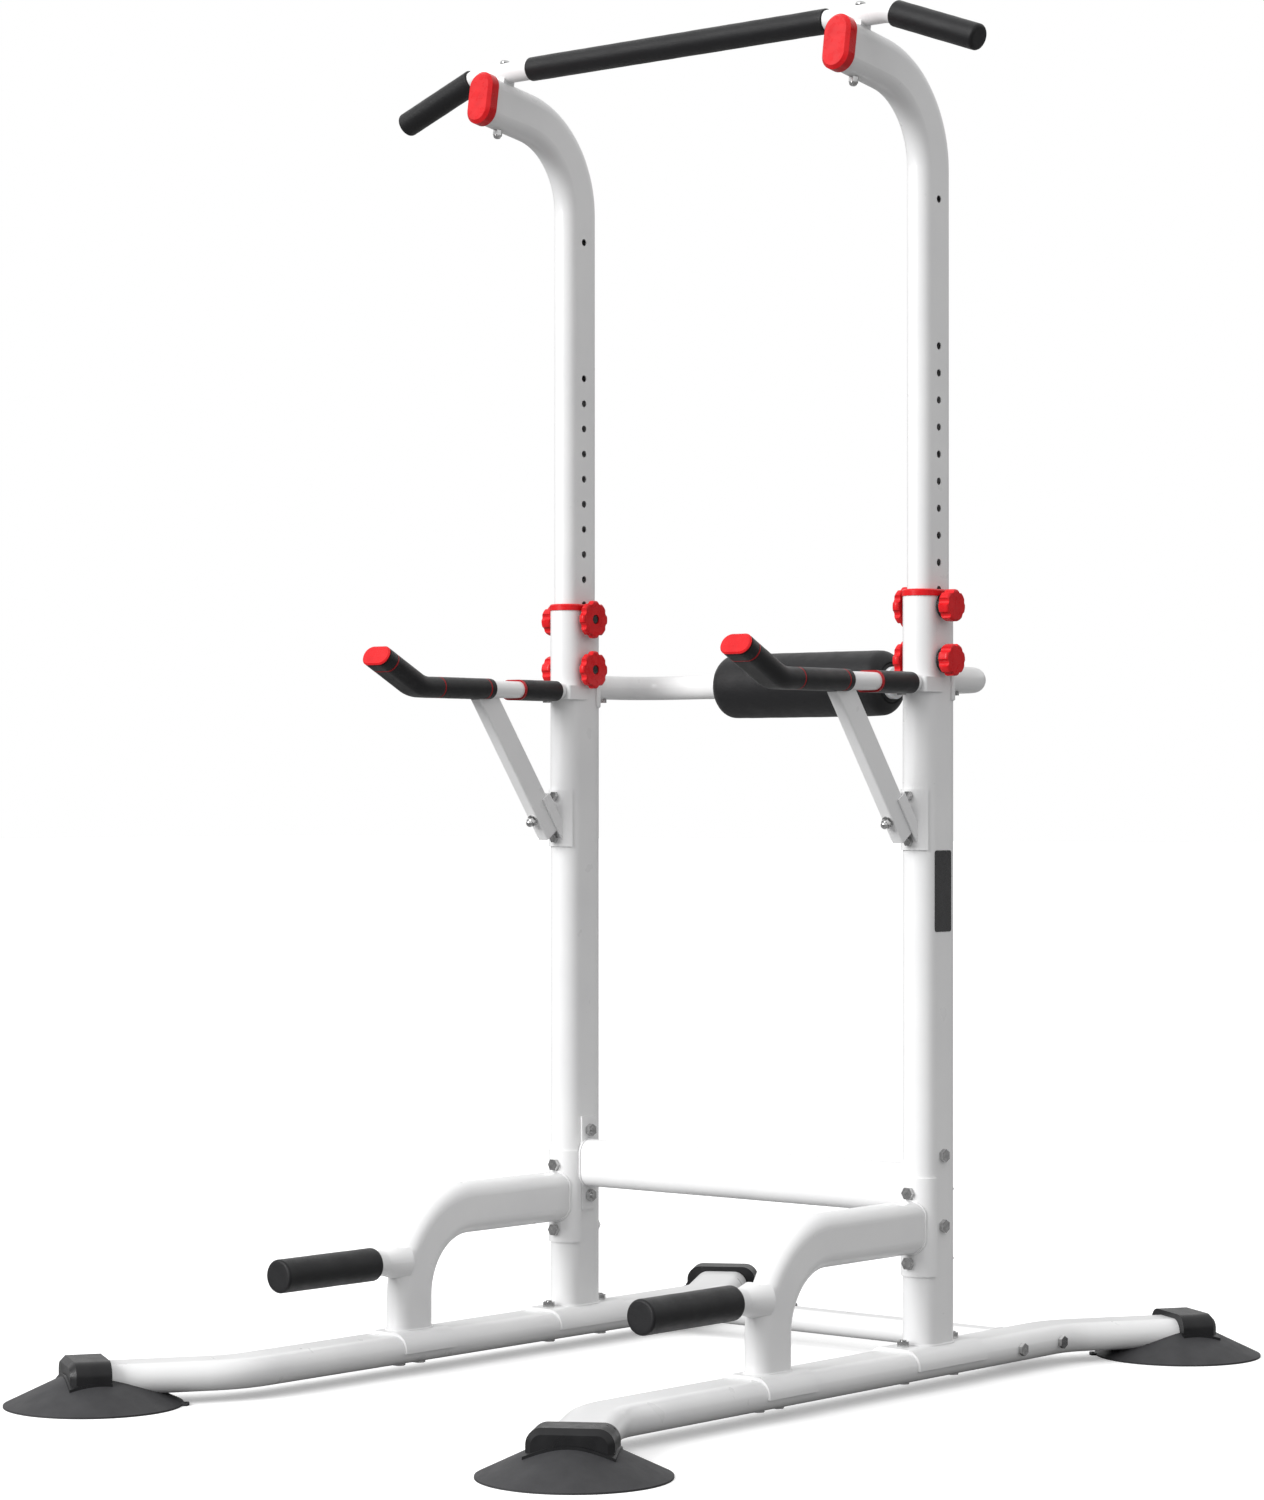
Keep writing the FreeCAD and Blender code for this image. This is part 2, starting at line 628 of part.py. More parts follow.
for level, z in (("low", "strut_low_height - 9"), ("high", "strut_low_height + 58")):
    body_holes.append(cylinder("hole_bracket_" + level, 4, 6, upright_x,
                               "-upright_deep / 2 - 1", z, "y"))
upright_solid = fuse("upright_solid", tube, saddle, arm_strap, back_strap, arm_stub,
                     arm_boss, back_stub, back_boss, *bosses)
upright_welded = cut("upright_welded", upright_solid, bore, rail_shape)
pair("upright", cut("left_upright", upright_welded, *threads, *screw_holes, *body_holes))

# ---------------------------------------------------------------- lower crossbar
bar_half = "half_spacing - upright_wide / 2"      # an upright's inner face
stand_x = FreeCAD.Rotation(V(0, 0, 1), 90).multiply(FRONT)
crossbar_outer = oval("crossbar_outer", "crossbar_deep", "crossbar_tall",
                      "2 * (%s) - 7" % bar_half, 0, 0, "crossbar_height", stand_x, True)
crossbar_inner = oval("crossbar_inner", "crossbar_deep - 4", "crossbar_tall - 4",
                      "2 * (%s) + 20" % bar_half, 0, 0, "crossbar_height", stand_x, True)
plate = box("crossbar_plate", 3.5, "plate_deep", "plate_tall",
            "-half_spacing + upright_wide / 2 + 1.75", 0, "crossbar_height - plate_tall / 2")
plate_holes = [cylinder("plate_hole_%d" % i, 5.25, 20, "-half_spacing + upright_wide / 2 - 5",
                        0, "crossbar_height + (%d) * crossbar_bolt" % s, "x")
               for i, s in enumerate((-1, 1))]
plate_left = cut("crossbar_plate_left", plate, *plate_holes)
part("lower_crossbar", fuse(
    "lower_crossbar", cut("crossbar_tube", crossbar_outer, crossbar_inner), plate_left,
    mirror("crossbar_plate_right", plate_left)))

# ---------------------------------------------------------------- push-up handle frames
frame_track = path(
    "frame_line", [("-upright_deep / 2 + 20", "frame_height"), ("-frame_leg", "frame_height"),
                   ("-frame_leg", "50")], ["frame_radius"], SIDE, x="-half_spacing")
frame_at = (upright_x, "-upright_deep / 2 + 20", "frame_height", FRONT)
frame_outer = sweep("frame_outer", oval_sketch(
    "frame_outline", "frame_wide", "frame_deep", *frame_at), frame_track)
frame_inner = sweep("frame_inner", oval_sketch(
    "frame_bore_outline", "frame_wide - 2 * frame_wall", "frame_deep - 2 * frame_wall",
    *frame_at), frame_track)
upright_shape = oval("upright_shape", "upright_wide", "upright_deep", 400, upright_x, 0, 60)
frame_strap = shell(
    "frame_strap", "upright_wide", "upright_deep", "strap_thick",
    "frame_strap_high - frame_strap_low", upright_x, 0,
    "(frame_strap_high + frame_strap_low) / 2", FLAT,
    box("frame_strap_keep", 100, 60, 200, upright_x, "-18 - 30", 140))
foot_strap = shell("foot_strap", "rail_tall", "rail_wide", "saddle_thick", 110,
                   upright_x, "-frame_leg", "rail_axis", stub_turn,
                   box("foot_strap_keep", 120, 110, 60, upright_x, "-frame_leg",
                       "saddle_low"))
rail_shape_b = oval("rail_shape_front", "rail_tall", "rail_wide", 200, upright_x,
                    "-frame_leg", "rail_axis", stub_turn, True)
flare = cone("grip_flare", 30, "grip_tube / 2", 40, upright_x, "-frame_leg - 20",
             "grip_height", "-y")
leg_core = oval("leg_core", "frame_wide - 2 * frame_wall", "frame_deep - 2 * frame_wall",
                150, upright_x, "-frame_leg", "rail_axis + rail_tall / 2 + saddle_thick")
grip_bar = cylinder("grip_bar", "grip_tube / 2", "grip_end - 6 - frame_leg - 25", upright_x,
                    "-frame_leg - 25", "grip_height", "-y")
grip_bore = cylinder("grip_bore", "grip_tube / 2 - 2", 300, upright_x, "-frame_leg - 30",
                     "grip_height", "-y")
frame_tube = cut("frame_tube", frame_outer, frame_inner)
frame_stub = cut("frame_stub", fuse("frame_stub_solid", flare, grip_bar), leg_core)
frame_hollow = cut("frame_hollow",
                   fuse("frame_solid", frame_tube, frame_strap, foot_strap, frame_stub),
                   upright_shape, rail_shape_b, grip_bore)
frame_nuts = [cylinder("frame_weld_nut_%d" % i, 9, 9, upright_x, y, 63)
              for i, y in enumerate(leg_bolts)]
frame_holes = [cylinder("frame_leg_hole_%d" % i, 5.05, 30, upright_x, y, 50)
               for i, y in enumerate(leg_bolts)]
frame_holes += [cylinder("frame_hole_" + level, 5.25, 120, upright_x, -60, level, "y")
                for level in ("frame_bolt_low", "frame_bolt_high")]
pair("handle_frame", cut("left_handle_frame", fuse("frame_welded", frame_hollow, *frame_nuts),
                         *frame_holes))
foam = cylinder("push_up_foam", "grip_foam / 2", "grip_end - grip_start", upright_x,
                "-grip_start", "grip_height", "-y")
foam_bore = cylinder("push_up_bore", "grip_tube / 2", "grip_end - grip_start - 6 + 1",
                     upright_x, "-grip_start + 1", "grip_height", "-y")
both("push_up_grips", cut("push_up_grip", foam, foam_bore))

# ---------------------------------------------------------------- dip arms
strap_clear = oval("strap_clear", "upright_wide + 2 * strap_thick + 0.8",
                   "upright_deep + 2 * strap_thick + 0.8", 500, upright_x, 0, 700)
arm_clear = fuse("arm_clear", strap_clear, box(
    "arm_clear_block", strap_wide + " + 0.8", 60, 60, upright_x,
    "29.6 - upright_deep / 2 - strap_thick", "arm_height - 30"))
arm_back = "upright_deep / 2 - 16"
arm_track = path(
    "arm_line", [("-(%s)" % arm_back, "arm_height"), ("-arm_corner", "arm_height"),
                 ("-arm_tip", "arm_tip_height")], ["arm_radius"], SIDE, x=upright_x)
arm_at = (upright_x, "-(%s)" % arm_back, "arm_height", stub_turn)
arm_outer = sweep("arm_outer", oval_sketch(
    "arm_outline", "arm_tall", "arm_wide", *arm_at), arm_track)
arm_inner = sweep("arm_inner", oval_sketch(
    "arm_bore_outline", "arm_tall - 2 * arm_wall", "arm_wide - 2 * arm_wall", *arm_at),
    arm_track)
strut_turn = FreeCAD.Rotation(V(1, 0, 0), value(STRUT))
strut = box("strut_block", "strut_wide", "strut_deep", "strut_length")
strut_round = bevel("strut_round", strut, 3, lambda e, m: abs(
    e.tangentAt(e.FirstParameter).z) > 0.9, "Part::Fillet")
strut_bore = box("strut_bore", "strut_wide - 4", "strut_deep - 4", "strut_length + 4", 0, 0, -2)
strut_hole = cylinder("strut_hole", 4.2, 80, 0, -40, "strut_bolt", "y")
strut_tube = put(cut("strut_tube", strut_round, strut_bore, strut_hole), upright_x,
                 "-strut_low_front", "strut_low_height", strut_turn)
arm_shape = sweep("arm_shape", oval_sketch(
    "arm_shape_outline", "arm_tall", "arm_wide", *arm_at), arm_track)
strut_trim = cut("strut_trim", strut_tube, arm_shape, strap_clear, box(
    "strut_top_trim", 60, 200, 60, upright_x, -220, "arm_height"))
arm_hollow = cut("arm_hollow", arm_outer, arm_inner, arm_clear)
arm_hole = cylinder("arm_hole", 4.2, 20, upright_x, -66, "arm_height - 24")
pair("dip_arm", cut("left_dip_arm", fuse("arm_welded", arm_hollow, strut_trim), arm_hole))

arm_foam_body = sweep("arm_foam_body", oval_sketch(
    "arm_foam_outline", "arm_foam_tall", "arm_foam_wide", *arm_at), arm_track)
arm_solid = sweep("arm_solid", oval_sketch(
    "arm_solid_outline", "arm_tall", "arm_wide", *arm_at), arm_track)
strut_room = turned("strut_room", box("strut_room_block", "strut_wide + 1", "strut_deep + 1",
                                      "strut_length + 40"),
                    upright_x, "-strut_low_front", "strut_low_height", strut_turn)
screw_room = cylinder("screw_room", 8.5, 20, upright_x, -66, "arm_height - 30")
arm_sleeve = cut("arm_sleeve", arm_foam_body, arm_solid, strut_room, screw_room)


def slice_of(label, start, end):
    """The piece of the arm's sleeve between two distances ahead of the upright."""
    block = box(label + "_keep", 120, "(%s) - (%s)" % (end, start), 300, upright_x,
                "-((%s) + (%s)) / 2" % (start, end), "arm_height - 100")
    return common(label, arm_sleeve, block)


cap_turn = FreeCAD.Rotation(V(1, 0, 0), -value(ARM)).multiply(stub_turn)
last_ring = oval("arm_ring_band", "arm_foam_tall + 4", "arm_foam_wide + 4",
                 "arm_ring_thick", upright_x, "-arm_tip + arm_ring_back * cos(%s)" % ARM,
                 "arm_tip_height - arm_ring_back * sin(%s)" % ARM, cap_turn)
foams = [slice_of("arm_foam_rear", 57, 143),
         slice_of("arm_foam_front", 212, "225 - arm_ring_thick"),
         slice_of("arm_foam_mid", 225, 328),
         cut("arm_foam_tips", slice_of("arm_foam_tip", "328 + arm_ring_thick", 600), last_ring)]
left_foams = group("left_arm_grips", *foams)
pair("arm_grips", left_foams)
rings = group("arm_rings", slice_of("arm_ring_rear", 143, 146),
              slice_of("arm_ring_mid", "225 - arm_ring_thick", 225),
              slice_of("arm_ring_front", 328, "328 + arm_ring_thick"),
              common("arm_ring_tip", arm_sleeve, last_ring))
both("arm_grip_rings", rings)
cap_face = oval("arm_cap_face", "arm_foam_tall", "arm_foam_wide", 5, upright_x, "-arm_tip",
                "arm_tip_height", cap_turn)
cap_soft = bevel("arm_cap_soft", cap_face, 2, lambda e, m: m.y < value("-arm_tip - 3.2"))
cap_plug = oval("arm_cap_plug", "arm_tall - 2 * arm_wall - 0.2",
                "arm_wide - 2 * arm_wall - 0.2", 44, upright_x, "-arm_tip",
                "arm_tip_height", cap_turn, True)
cap_gone = oval("arm_cap_gone", "arm_foam_tall + 4", "arm_foam_wide + 4", 60, upright_x,
                "-arm_tip", "arm_tip_height", cap_turn)
both("arm_end_caps", fuse("arm_end_cap", cap_soft, cut("arm_plug", cap_plug, cap_gone)))

# ---------------------------------------------------------------- brace brackets
bracket_low, bracket_high = "strut_low_height - 22", "strut_low_height + 68"
bracket_strap = shell(
    "bracket_strap", "upright_wide", "upright_deep", "strap_thick",
    "(%s) - (%s)" % (bracket_high, bracket_low), upright_x, 0,
    "((%s) + (%s)) / 2" % (bracket_high, bracket_low), FLAT,
    box("bracket_strap_keep", 100, 60, 120, upright_x, "-34 - 30", "strut_low_height - 40"))
channel_block = box("channel_block", "strut_wide + 6.6", "strut_deep / 2 + 4 - 6", 105, 0,
                    "strut_deep / 4 + 5", -45)
channel_slot = box("channel_slot", "strut_wide + 0.6", "strut_deep + 0.6", 160, 0, 0, -60)
channel_hole = cylinder("channel_hole", 4.2, 80, 0, -20, "strut_bolt", "y")
channel_cut = cut("channel_cut", channel_block, channel_slot, channel_hole)
channel_placed = put(channel_cut, upright_x, "-strut_low_front", "strut_low_height",
                     strut_turn)
upright_near = oval("upright_near", "upright_wide + strap_thick",
                    "upright_deep + strap_thick", 400, upright_x, 0, 600)
channel_fit = cut("channel_fit", channel_placed, upright_near)
bracket_holes = [cylinder("bracket_hole_" + level, 4.2, 30, upright_x, -70, z, "y")
                 for level, z in (("low", "strut_low_height - 9"),
                                  ("high", "strut_low_height + 58"))]
both("brace_brackets", cut("brace_bracket", fuse("bracket_welded", bracket_strap, channel_fit),
                           *bracket_holes))

# ---------------------------------------------------------------- back bar and roller
back_track = path(
    "back_line", [("-half_spacing", "upright_deep / 2 - 12"),
                  ("-half_spacing", "back_bar_reach"), ("half_spacing", "back_bar_reach"),
                  ("half_spacing", "upright_deep / 2 - 12")],
    ["back_bar_radius", "back_bar_radius"], FLAT, z="back_height")


def ring_sketch(label, size, x, y, z, turn):
    """A round outline."""
    sketch = put(add("Sketcher::SketchObject", label), x, y, z, turn)
    sketch.addGeometry(Part.Circle(V(0, 0, 0), V(0, 0, 1), value(size) / 2), False)
    sketch.addConstraint(Sketcher.Constraint("Coincident", 0, 3, -1, 1))
    index = sketch.addConstraint(Sketcher.Constraint("Diameter", 0, value(size)))
    sketch.setExpression("Constraints[%d]" % index, full(size))
    return sketch


back_at = (upright_x, "upright_deep / 2 - 12", "back_height", FRONT)
back_tube = cut(
    "back_tube",
    sweep("back_outer", ring_sketch("back_outline", "back_bar_size", *back_at), back_track),
    sweep("back_inner", ring_sketch("back_bore_outline", "back_bar_size - 2 * back_bar_wall",
                                    *back_at), back_track))
back_hole = cylinder("back_hole", 4.2, 16, upright_x, 67, "back_height - 28")
part("back_bar", cut("back_bar", back_tube, back_hole, mirror("back_hole_right", back_hole),
                     strap_clear, mirror("strap_clear_right", strap_clear)))


def sleeve(label, outside, inside, long, x, y, z, along):
    """A round tube that starts at a point."""
    return cut(label, cylinder(label + "_outside", "(%s) / 2" % outside, long, x, y, z, along),
               cylinder(label + "_inside", "(%s) / 2" % inside, long, x, y, z, along))


part("roller_core", sleeve("roller_core", "roller_core_size", "back_bar_size + 2 * roller_gap",
                           "roller_long", "-roller_long / 2", "back_bar_reach",
                           "back_height", "x"))
roller_solid = cylinder("roller_solid", "roller_size / 2", "roller_long", "-roller_long / 2",
                        "back_bar_reach", "back_height", "x")
roller_round = bevel("roller_round", roller_solid, 20,
                     lambda e, m: len(e.Vertexes) == 1, "Part::Fillet")
part("roller_pad", cut("roller_pad", roller_round, cylinder(
    "roller_pad_bore", "roller_core_size / 2", "roller_long", "-roller_long / 2",
    "back_bar_reach", "back_height", "x")))
stop = sleeve("roller_stop", "ring_size", "back_bar_size", "ring_long",
              "-roller_long / 2 - 0.4 - ring_long", "back_bar_reach", "back_height", "x")
both("roller_stop_rings", stop)

# ---------------------------------------------------------------- telescoping upper frame
upper_track = path(
    "upper_line", [("0", "inner_bottom"), ("0", "bend_corner"),
                   ("-nose_front", "nose_top")], ["bend_radius"], SIDE, x=upright_x)
upper_at = (upright_x, 0, "inner_bottom")
upper_tube = cut(
    "upper_tube",
    sweep("upper_outer", oval_sketch("upper_outline", "inner_wide", "inner_deep", *upper_at),
          upper_track),
    sweep("upper_inner", oval_sketch("upper_bore_outline", "inner_wide - 2 * inner_wall",
                                     "inner_deep - 2 * inner_wall", *upper_at), upper_track))
heights = ["hole_single"] + ["hole_first - %d * hole_pitch" % i for i in range(14)]
pin_holes = [cylinder("pin_hole_%d" % i, "hole_size / 2", 80, "-half_spacing - 40", 0, z, "x")
             for i, z in enumerate(heights)]
lean = FreeCAD.Rotation(V(1, 0, 0), -value(NOSE))
rise = lean.multVec(V(0, 0, 1))
bolt_top = "bar_height + %g * (bar_size / 2)" % rise.z
bolt_top_y = "-bar_front + %g * (bar_size / 2)" % rise.y
down = lean.multiply(TURN["-z"])
bolt_long = "bar_size + inner_deep + 8"
bar_bolt_hole = cylinder("bar_bolt_hole", 4.1, 180, upright_x,
                         "-bar_front + %g * 40" % rise.y, "bar_height + %g * 40" % rise.z, down)
bar_room = cylinder("bar_room", "bar_size / 2 + 0.1", 120, "-half_spacing - 60", "-bar_front",
                    "bar_height", "x")
pair("upper_tube", cut("left_upper_tube", upper_tube, bar_bolt_hole, bar_room, *pin_holes))
nose_turn = FreeCAD.Rotation(V(1, 0, 0), -value(NOSE)).multiply(FRONT)
nose_at = (upright_x, "-nose_front", "nose_top", nose_turn)
nose_cap = oval("nose_cap", "inner_wide + 8", "inner_deep + 6", 20, *nose_at)
nose_end = V(value(upright_x), value("-nose_front"), value("nose_top"))
nose_soft = bevel("nose_soft", nose_cap, 5, lambda e, m: (m - nose_end).dot(
    nose_turn.multVec(V(0, 0, 1))) > 19.9)
nose_plug = oval("nose_plug", "inner_wide - 2 * inner_wall - 0.2",
                 "inner_deep - 2 * inner_wall - 0.2", 30, *nose_at, True)
nose_gone = oval("nose_gone", "inner_wide + 12", "inner_deep + 12", 60, *nose_at)
both("upper_tube_caps", fuse("upper_tube_cap", nose_soft,
                             cut("nose_plug_cut", nose_plug, nose_gone)))

# ---------------------------------------------------------------- pull-up bar
bar_track = path(
    "bar_line", [("-bar_end_half", "bar_height - bar_drop"), ("-bar_corner", "bar_height"),
                 ("bar_corner", "bar_height"), ("bar_end_half", "bar_height - bar_drop")],
    ["bar_radius", "bar_radius"], FRONT, y="-bar_front")
bar_turn = FreeCAD.Rotation(V(0, 1, 0), -value(DROP)).multiply(TURN["x"])
bar_at = ("-bar_end_half", "-bar_front", "bar_height - bar_drop", bar_turn)
bar_outer = sweep("bar_outer", ring_sketch("bar_outline", "bar_size", *bar_at), bar_track)
bar_inner = sweep("bar_inner", ring_sketch("bar_bore_outline", "bar_size - 2 * bar_wall",
                                           *bar_at), bar_track)
rest_placed = turned("bar_rest", box("bar_rest_block", 26, 24, 20, 0, 0, -24), upright_x,
                     "-bar_front", "bar_height", lean)
bar_shape = sweep("bar_shape", ring_sketch("bar_shape_outline", "bar_size", *bar_at), bar_track)
nose_shape = sweep("nose_shape", oval_sketch("nose_shape_outline", "inner_wide", "inner_deep",
                                             *upper_at), upper_track)
rest_cut = cut("bar_rest_cut", rest_placed, bar_shape, nose_shape)
bar_holes = [bar_bolt_hole, mirror("bar_bolt_hole_right", bar_bolt_hole)]
part("pull_up_bar", cut(
    "pull_up_bar", fuse("bar_welded", cut("bar_tube", bar_outer, bar_inner), rest_cut,
                        mirror("bar_rest_right", rest_cut)), *bar_holes))
part("bar_centre_grip", sleeve("bar_centre_grip", "bar_foam_size", "bar_size",
                               "2 * bar_foam_half", "-bar_foam_half", "-bar_front",
                               "bar_height", "x"))
drop_turn = FreeCAD.Rotation(V(0, 1, 0), -value(DROP)).multiply(TURN["-x"])
grip_x, grip_z = "-bar_end_half - 4.7", "bar_height - bar_drop - 1.72"
back_turn = FreeCAD.Rotation(V(0, 1, 0), -value(DROP)).multiply(TURN["x"])
outer_foam = cylinder("outer_foam", "outer_foam_size / 2", "outer_foam_long", grip_x, "-bar_front",
                      grip_z, back_turn)
outer_bore = cylinder("outer_bore", "bar_size / 2", "outer_foam_long", "-bar_end_half",
                      "-bar_front",
                      "bar_height - bar_drop", back_turn)
both("bar_outer_grips", cut("outer_grip", outer_foam, outer_bore))

head = cylinder("bar_bolt_head", 8, 4.5, upright_x, bolt_top_y, bolt_top, lean)
head_round = bevel("bar_bolt_head_round", head, 3.5,
                   lambda e, m: m.z > value(bolt_top) + 3 and len(e.Vertexes) == 1,
                   "Part::Fillet")
shank = cylinder("bar_bolt_shank", 4, bolt_long, upright_x,
                 "-bar_front + %g * (bar_size / 2 + 1)" % rise.y,
                 "bar_height + %g * (bar_size / 2 + 1)" % rise.z, down)
seat = "((bar_height - bend_corner) * cos(%s) - bar_front * sin(%s))" % (NOSE, NOSE)
under = "-bar_front - %g * (%s + inner_deep / 2 + 0.1)" % (rise.y, seat)
under_z = "bar_height - %g * (%s + inner_deep / 2 + 0.1)" % (rise.z, seat)
dome_nut = fuse("dome_nut_body", hexagon("dome_nut_hex", 13, 8, upright_x, under, under_z, down),
                cylinder("dome_nut_cap", 6, 13, upright_x, under, under_z, down))
nut_round = bevel("dome_nut_round", dome_nut, 4,
                  lambda e, m: m.z < value(under_z) - 11 and len(e.Vertexes) == 1,
                  "Part::Fillet")
nut_bore = cylinder("dome_nut_bore", 4, 9, upright_x, under, under_z, down)
bar_bolt = fuse("bar_bolt", head_round, shank)
bar_set = group("bar_bolt_set", bar_bolt, cut("dome_nut", nut_round, nut_bore))
both("bar_bolts", bar_set)

# ---------------------------------------------------------------- collars and label
collar_ring = oval("collar_ring", "upright_wide + collar_over", "upright_deep + collar_over",
                   "collar_height", upright_x, 0, "upright_top")
collar_soft = bevel("collar_soft", collar_ring, 2, lambda e, m: m.z > value(
    "upright_top + collar_height") - 0.1)
collar_tube = oval("collar_tube", "upright_wide - 2 * upright_wall",
                   "upright_deep - 2 * upright_wall", "collar_depth + 1", upright_x, 0,
                   "upright_top - collar_depth")
collar_bore = oval("collar_bore", "inner_wide + 0.6", "inner_deep + 0.6", 100, upright_x, 0,
                   "upright_top - 60")
collar_hole = cylinder("collar_hole", 6, 80, "-half_spacing - 40", 0, "knob_high", "x")
both("tube_collars", cut("tube_collar", fuse("collar_body", collar_soft, collar_tube),
                         collar_bore, collar_hole))
label = box("label_block", 0.6, "label_wide", "label_tall",
            "half_spacing + upright_wide / 2 + 0.3", 0, 672.5)
part("label_plate", bevel("label_plate", label, 4, lambda e, m: abs(
    e.tangentAt(e.FirstParameter).x) > 0.9, "Part::Fillet"))

# ---------------------------------------------------------------- clamp screws and knobs


def star(label, size, thick, lobes, scoop, x, z, along):
    """A star knob blank: a disc with scoops round its edge and a hub behind it."""
    disc = bevel(label + "_disc", cylinder(label + "_blank", "(%s) / 2" % size, thick),
                 4, lambda e, m: len(e.Vertexes) == 1, "Part::Fillet")
    scoops = []
    for i in range(lobes):
        turn = math.radians(360.0 / lobes * (i + 0.5))
        reach = "((%s) / 2 + %g)" % (size, scoop * 0.3)
        scoops.append(cylinder("%s_scoop_%d" % (label, i), scoop, 60,
                               "%s * %.6f" % (reach, math.cos(turn)),
                               "%s * %.6f" % (reach, math.sin(turn)), -10))
    hub = cylinder(label + "_hub", "hub_size / 2", "hub_long + 1", z="-hub_long")
    well = cylinder(label + "_well", "boss_size / 2 + 0.3", "hub_long + 1", z="-hub_long - 1")
    body = cut(label + "_star", fuse(label + "_body", disc, hub), well, *scoops)
    return put(body, x, 0, z, TURN[along])


screw_start = "(inner_wide / 2 + screw_gap)"
for side, along, sign, size, thick, lobes in (
        ("inner", "x", 1, "inner_knob_size", "inner_knob_thick", 8),
        ("outer", "-x", -1, "outer_knob_size", "outer_knob_thick", 7)):
    at = lambda d: "-half_spacing + (%d) * (%s)" % (sign, d)
    face = "knob_start + %s" % thick
    blank = star(side + "_knob", size, thick, lobes, 7 if side == "inner" else 6,
                 at("knob_start"), "knob_high", along)
    bore_long = "%s + 2" % thick if side == "inner" else "%s - 4" % thick
    tools = [cylinder(side + "_knob_bore", "screw_size / 2 + 0.05", bore_long,
                      at("knob_start - 1"), 0, "knob_high", along)]
    if side == "inner":
        tools.append(cylinder("inner_knob_recess", 7.6, 10, at(face + " - 6"), 0,
                              "knob_high", along))
    knob = cut(side + "_knob_high", blank, *tools)
    if side == "inner":
        rod = cylinder("inner_rod", "screw_size / 2", face + " - 5.7 - (%s)" % screw_start,
                       at(screw_start), 0, "knob_high", along)
        screw = fuse("inner_screw_high", rod, hexagon(
            "inner_screw_head", 12, 4.2, at(face + " - 5.8"), 0, "knob_high", along))
    else:
        screw = cylinder("outer_screw_high", "screw_size / 2",
                         face + " - 6 - (%s)" % screw_start, at(screw_start), 0,
                         "knob_high", along)
    for what, source in (("knob", knob), ("screw", screw)):
        middle = value("knob_high - knob_pitch / 2")
        low = mirror("%s_%s_low" % (side, what), source, (0, 0, 1), (0, 0, middle))
        bind(low, Base__z="knob_high - knob_pitch / 2")
        for level, obj in (("upper", source), ("lower", low)):
            name = "%s_%s_%s" % (level, side, "clamp_knob" if what == "knob" else "clamp_screw")
            pair(name, obj)

# ---------------------------------------------------------------- frame fasteners
BOLT = dict(size="screw_size", flats=17, head=6.4)
nuts = []


def bolts_at(label, long, places):
    """Identical bolts on the left-hand side, as (x, y, z, along, nut x, nut y, nut z)."""
    made = []
    for i, (x, y, z, along, far) in enumerate(places):
        made.append(hex_bolt("%s_%d" % (label, i), x, y, z, along, long=long, **BOLT))
        if far:
            nuts.append(hex_nut("%s_nut_%d" % (label, i), *far, along, "screw_size", 17, 8))
    both(label, group(label + "_left", *made))


outside = "-half_spacing - rail_wide / 2"
inside = "-half_spacing + rail_wide / 2 + strap_thick"
strap_face = "-upright_deep / 2 - strap_thick"
bolts_at("long_frame_bolts", 104, [
    (upright_x, strap_face, level, "y", (upright_x, "upright_deep / 2", level))
    for level in ("frame_bolt_low", "frame_bolt_high")] + [
    (outside, y, "rail_axis", "x", (inside, y, "rail_axis")) for y in bar_bolt_places])
bolts_at("crossbar_bolts", 68, [
    ("-half_spacing - upright_wide / 2", 0, z, "x",
     ("-half_spacing + upright_wide / 2 + 3.5", 0, z))
    for z in ("crossbar_height - crossbar_bolt", "crossbar_height + crossbar_bolt")])
rail_under = "rail_axis - rail_tall / 2"
bolts_at("base_bolts", 58, [
    (upright_x, y, rail_under, "z",
     (upright_x, y, "rail_axis + rail_tall / 2 + saddle_thick") if "leg" not in y else None)
    for y in base_bolt_places])
both("lock_nuts", group("lock_nuts_left", *nuts))

strut_face = "-strut_deep / 2 - 1.8"
strut_bolt_head = hexagon("brace_bolt_head", 13, 5.5, 0, "strut_deep / 2 + 4.1",
                          "strut_bolt", "y")
strut_shank = cylinder("brace_bolt_shank", 4, "strut_deep + 14.6", 0,
                       "strut_deep / 2 + 4.6", "strut_bolt", "-y")
strut_washer = cylinder("brace_washer", 9, 1.6, 0, strut_face + " + 1.6", "strut_bolt", "-y")
strut_dome = cylinder("brace_nut_dome", 6, 13, 0, strut_face, "strut_bolt", "-y")
strut_dome_round = bevel("brace_nut_round", strut_dome, 5, lambda e, m: m.y < value(
    strut_face + " - 12.9") and len(e.Vertexes) == 1, "Part::Fillet")
strut_nut = cut("brace_nut", fuse(
    "brace_nut_body", strut_washer, strut_dome_round,
    hexagon("brace_nut_hex", 13, 7, 0, strut_face, "strut_bolt", "-y")),
    cylinder("brace_nut_bore", 4.05, 12, 0, strut_face + " + 2", "strut_bolt", "-y"))
brace_set = put(group("brace_bolt_set", fuse("brace_bolt", strut_bolt_head, strut_shank),
                      strut_nut),
                upright_x, "-strut_low_front", "strut_low_height", strut_turn)
both("brace_bolts", brace_set)
M8 = dict(size=8, flats=13, head=5.5)
both("m8_screws", group(
    "m8_screws_left",
    hex_bolt("arm_screw", upright_x, -66, "arm_height - arm_tall / 2", "z", long=12, **M8),
    hex_bolt("back_screw", upright_x, 67, "back_height - back_bar_size / 2", "z", long=12, **M8),
    *[hex_bolt("bracket_screw_" + level, upright_x, strap_face, z, "y",
               long="strap_thick + upright_wall", **M8)
      for level, z in (("low", "strut_low_height - 9"), ("high", "strut_low_height + 58"))]))

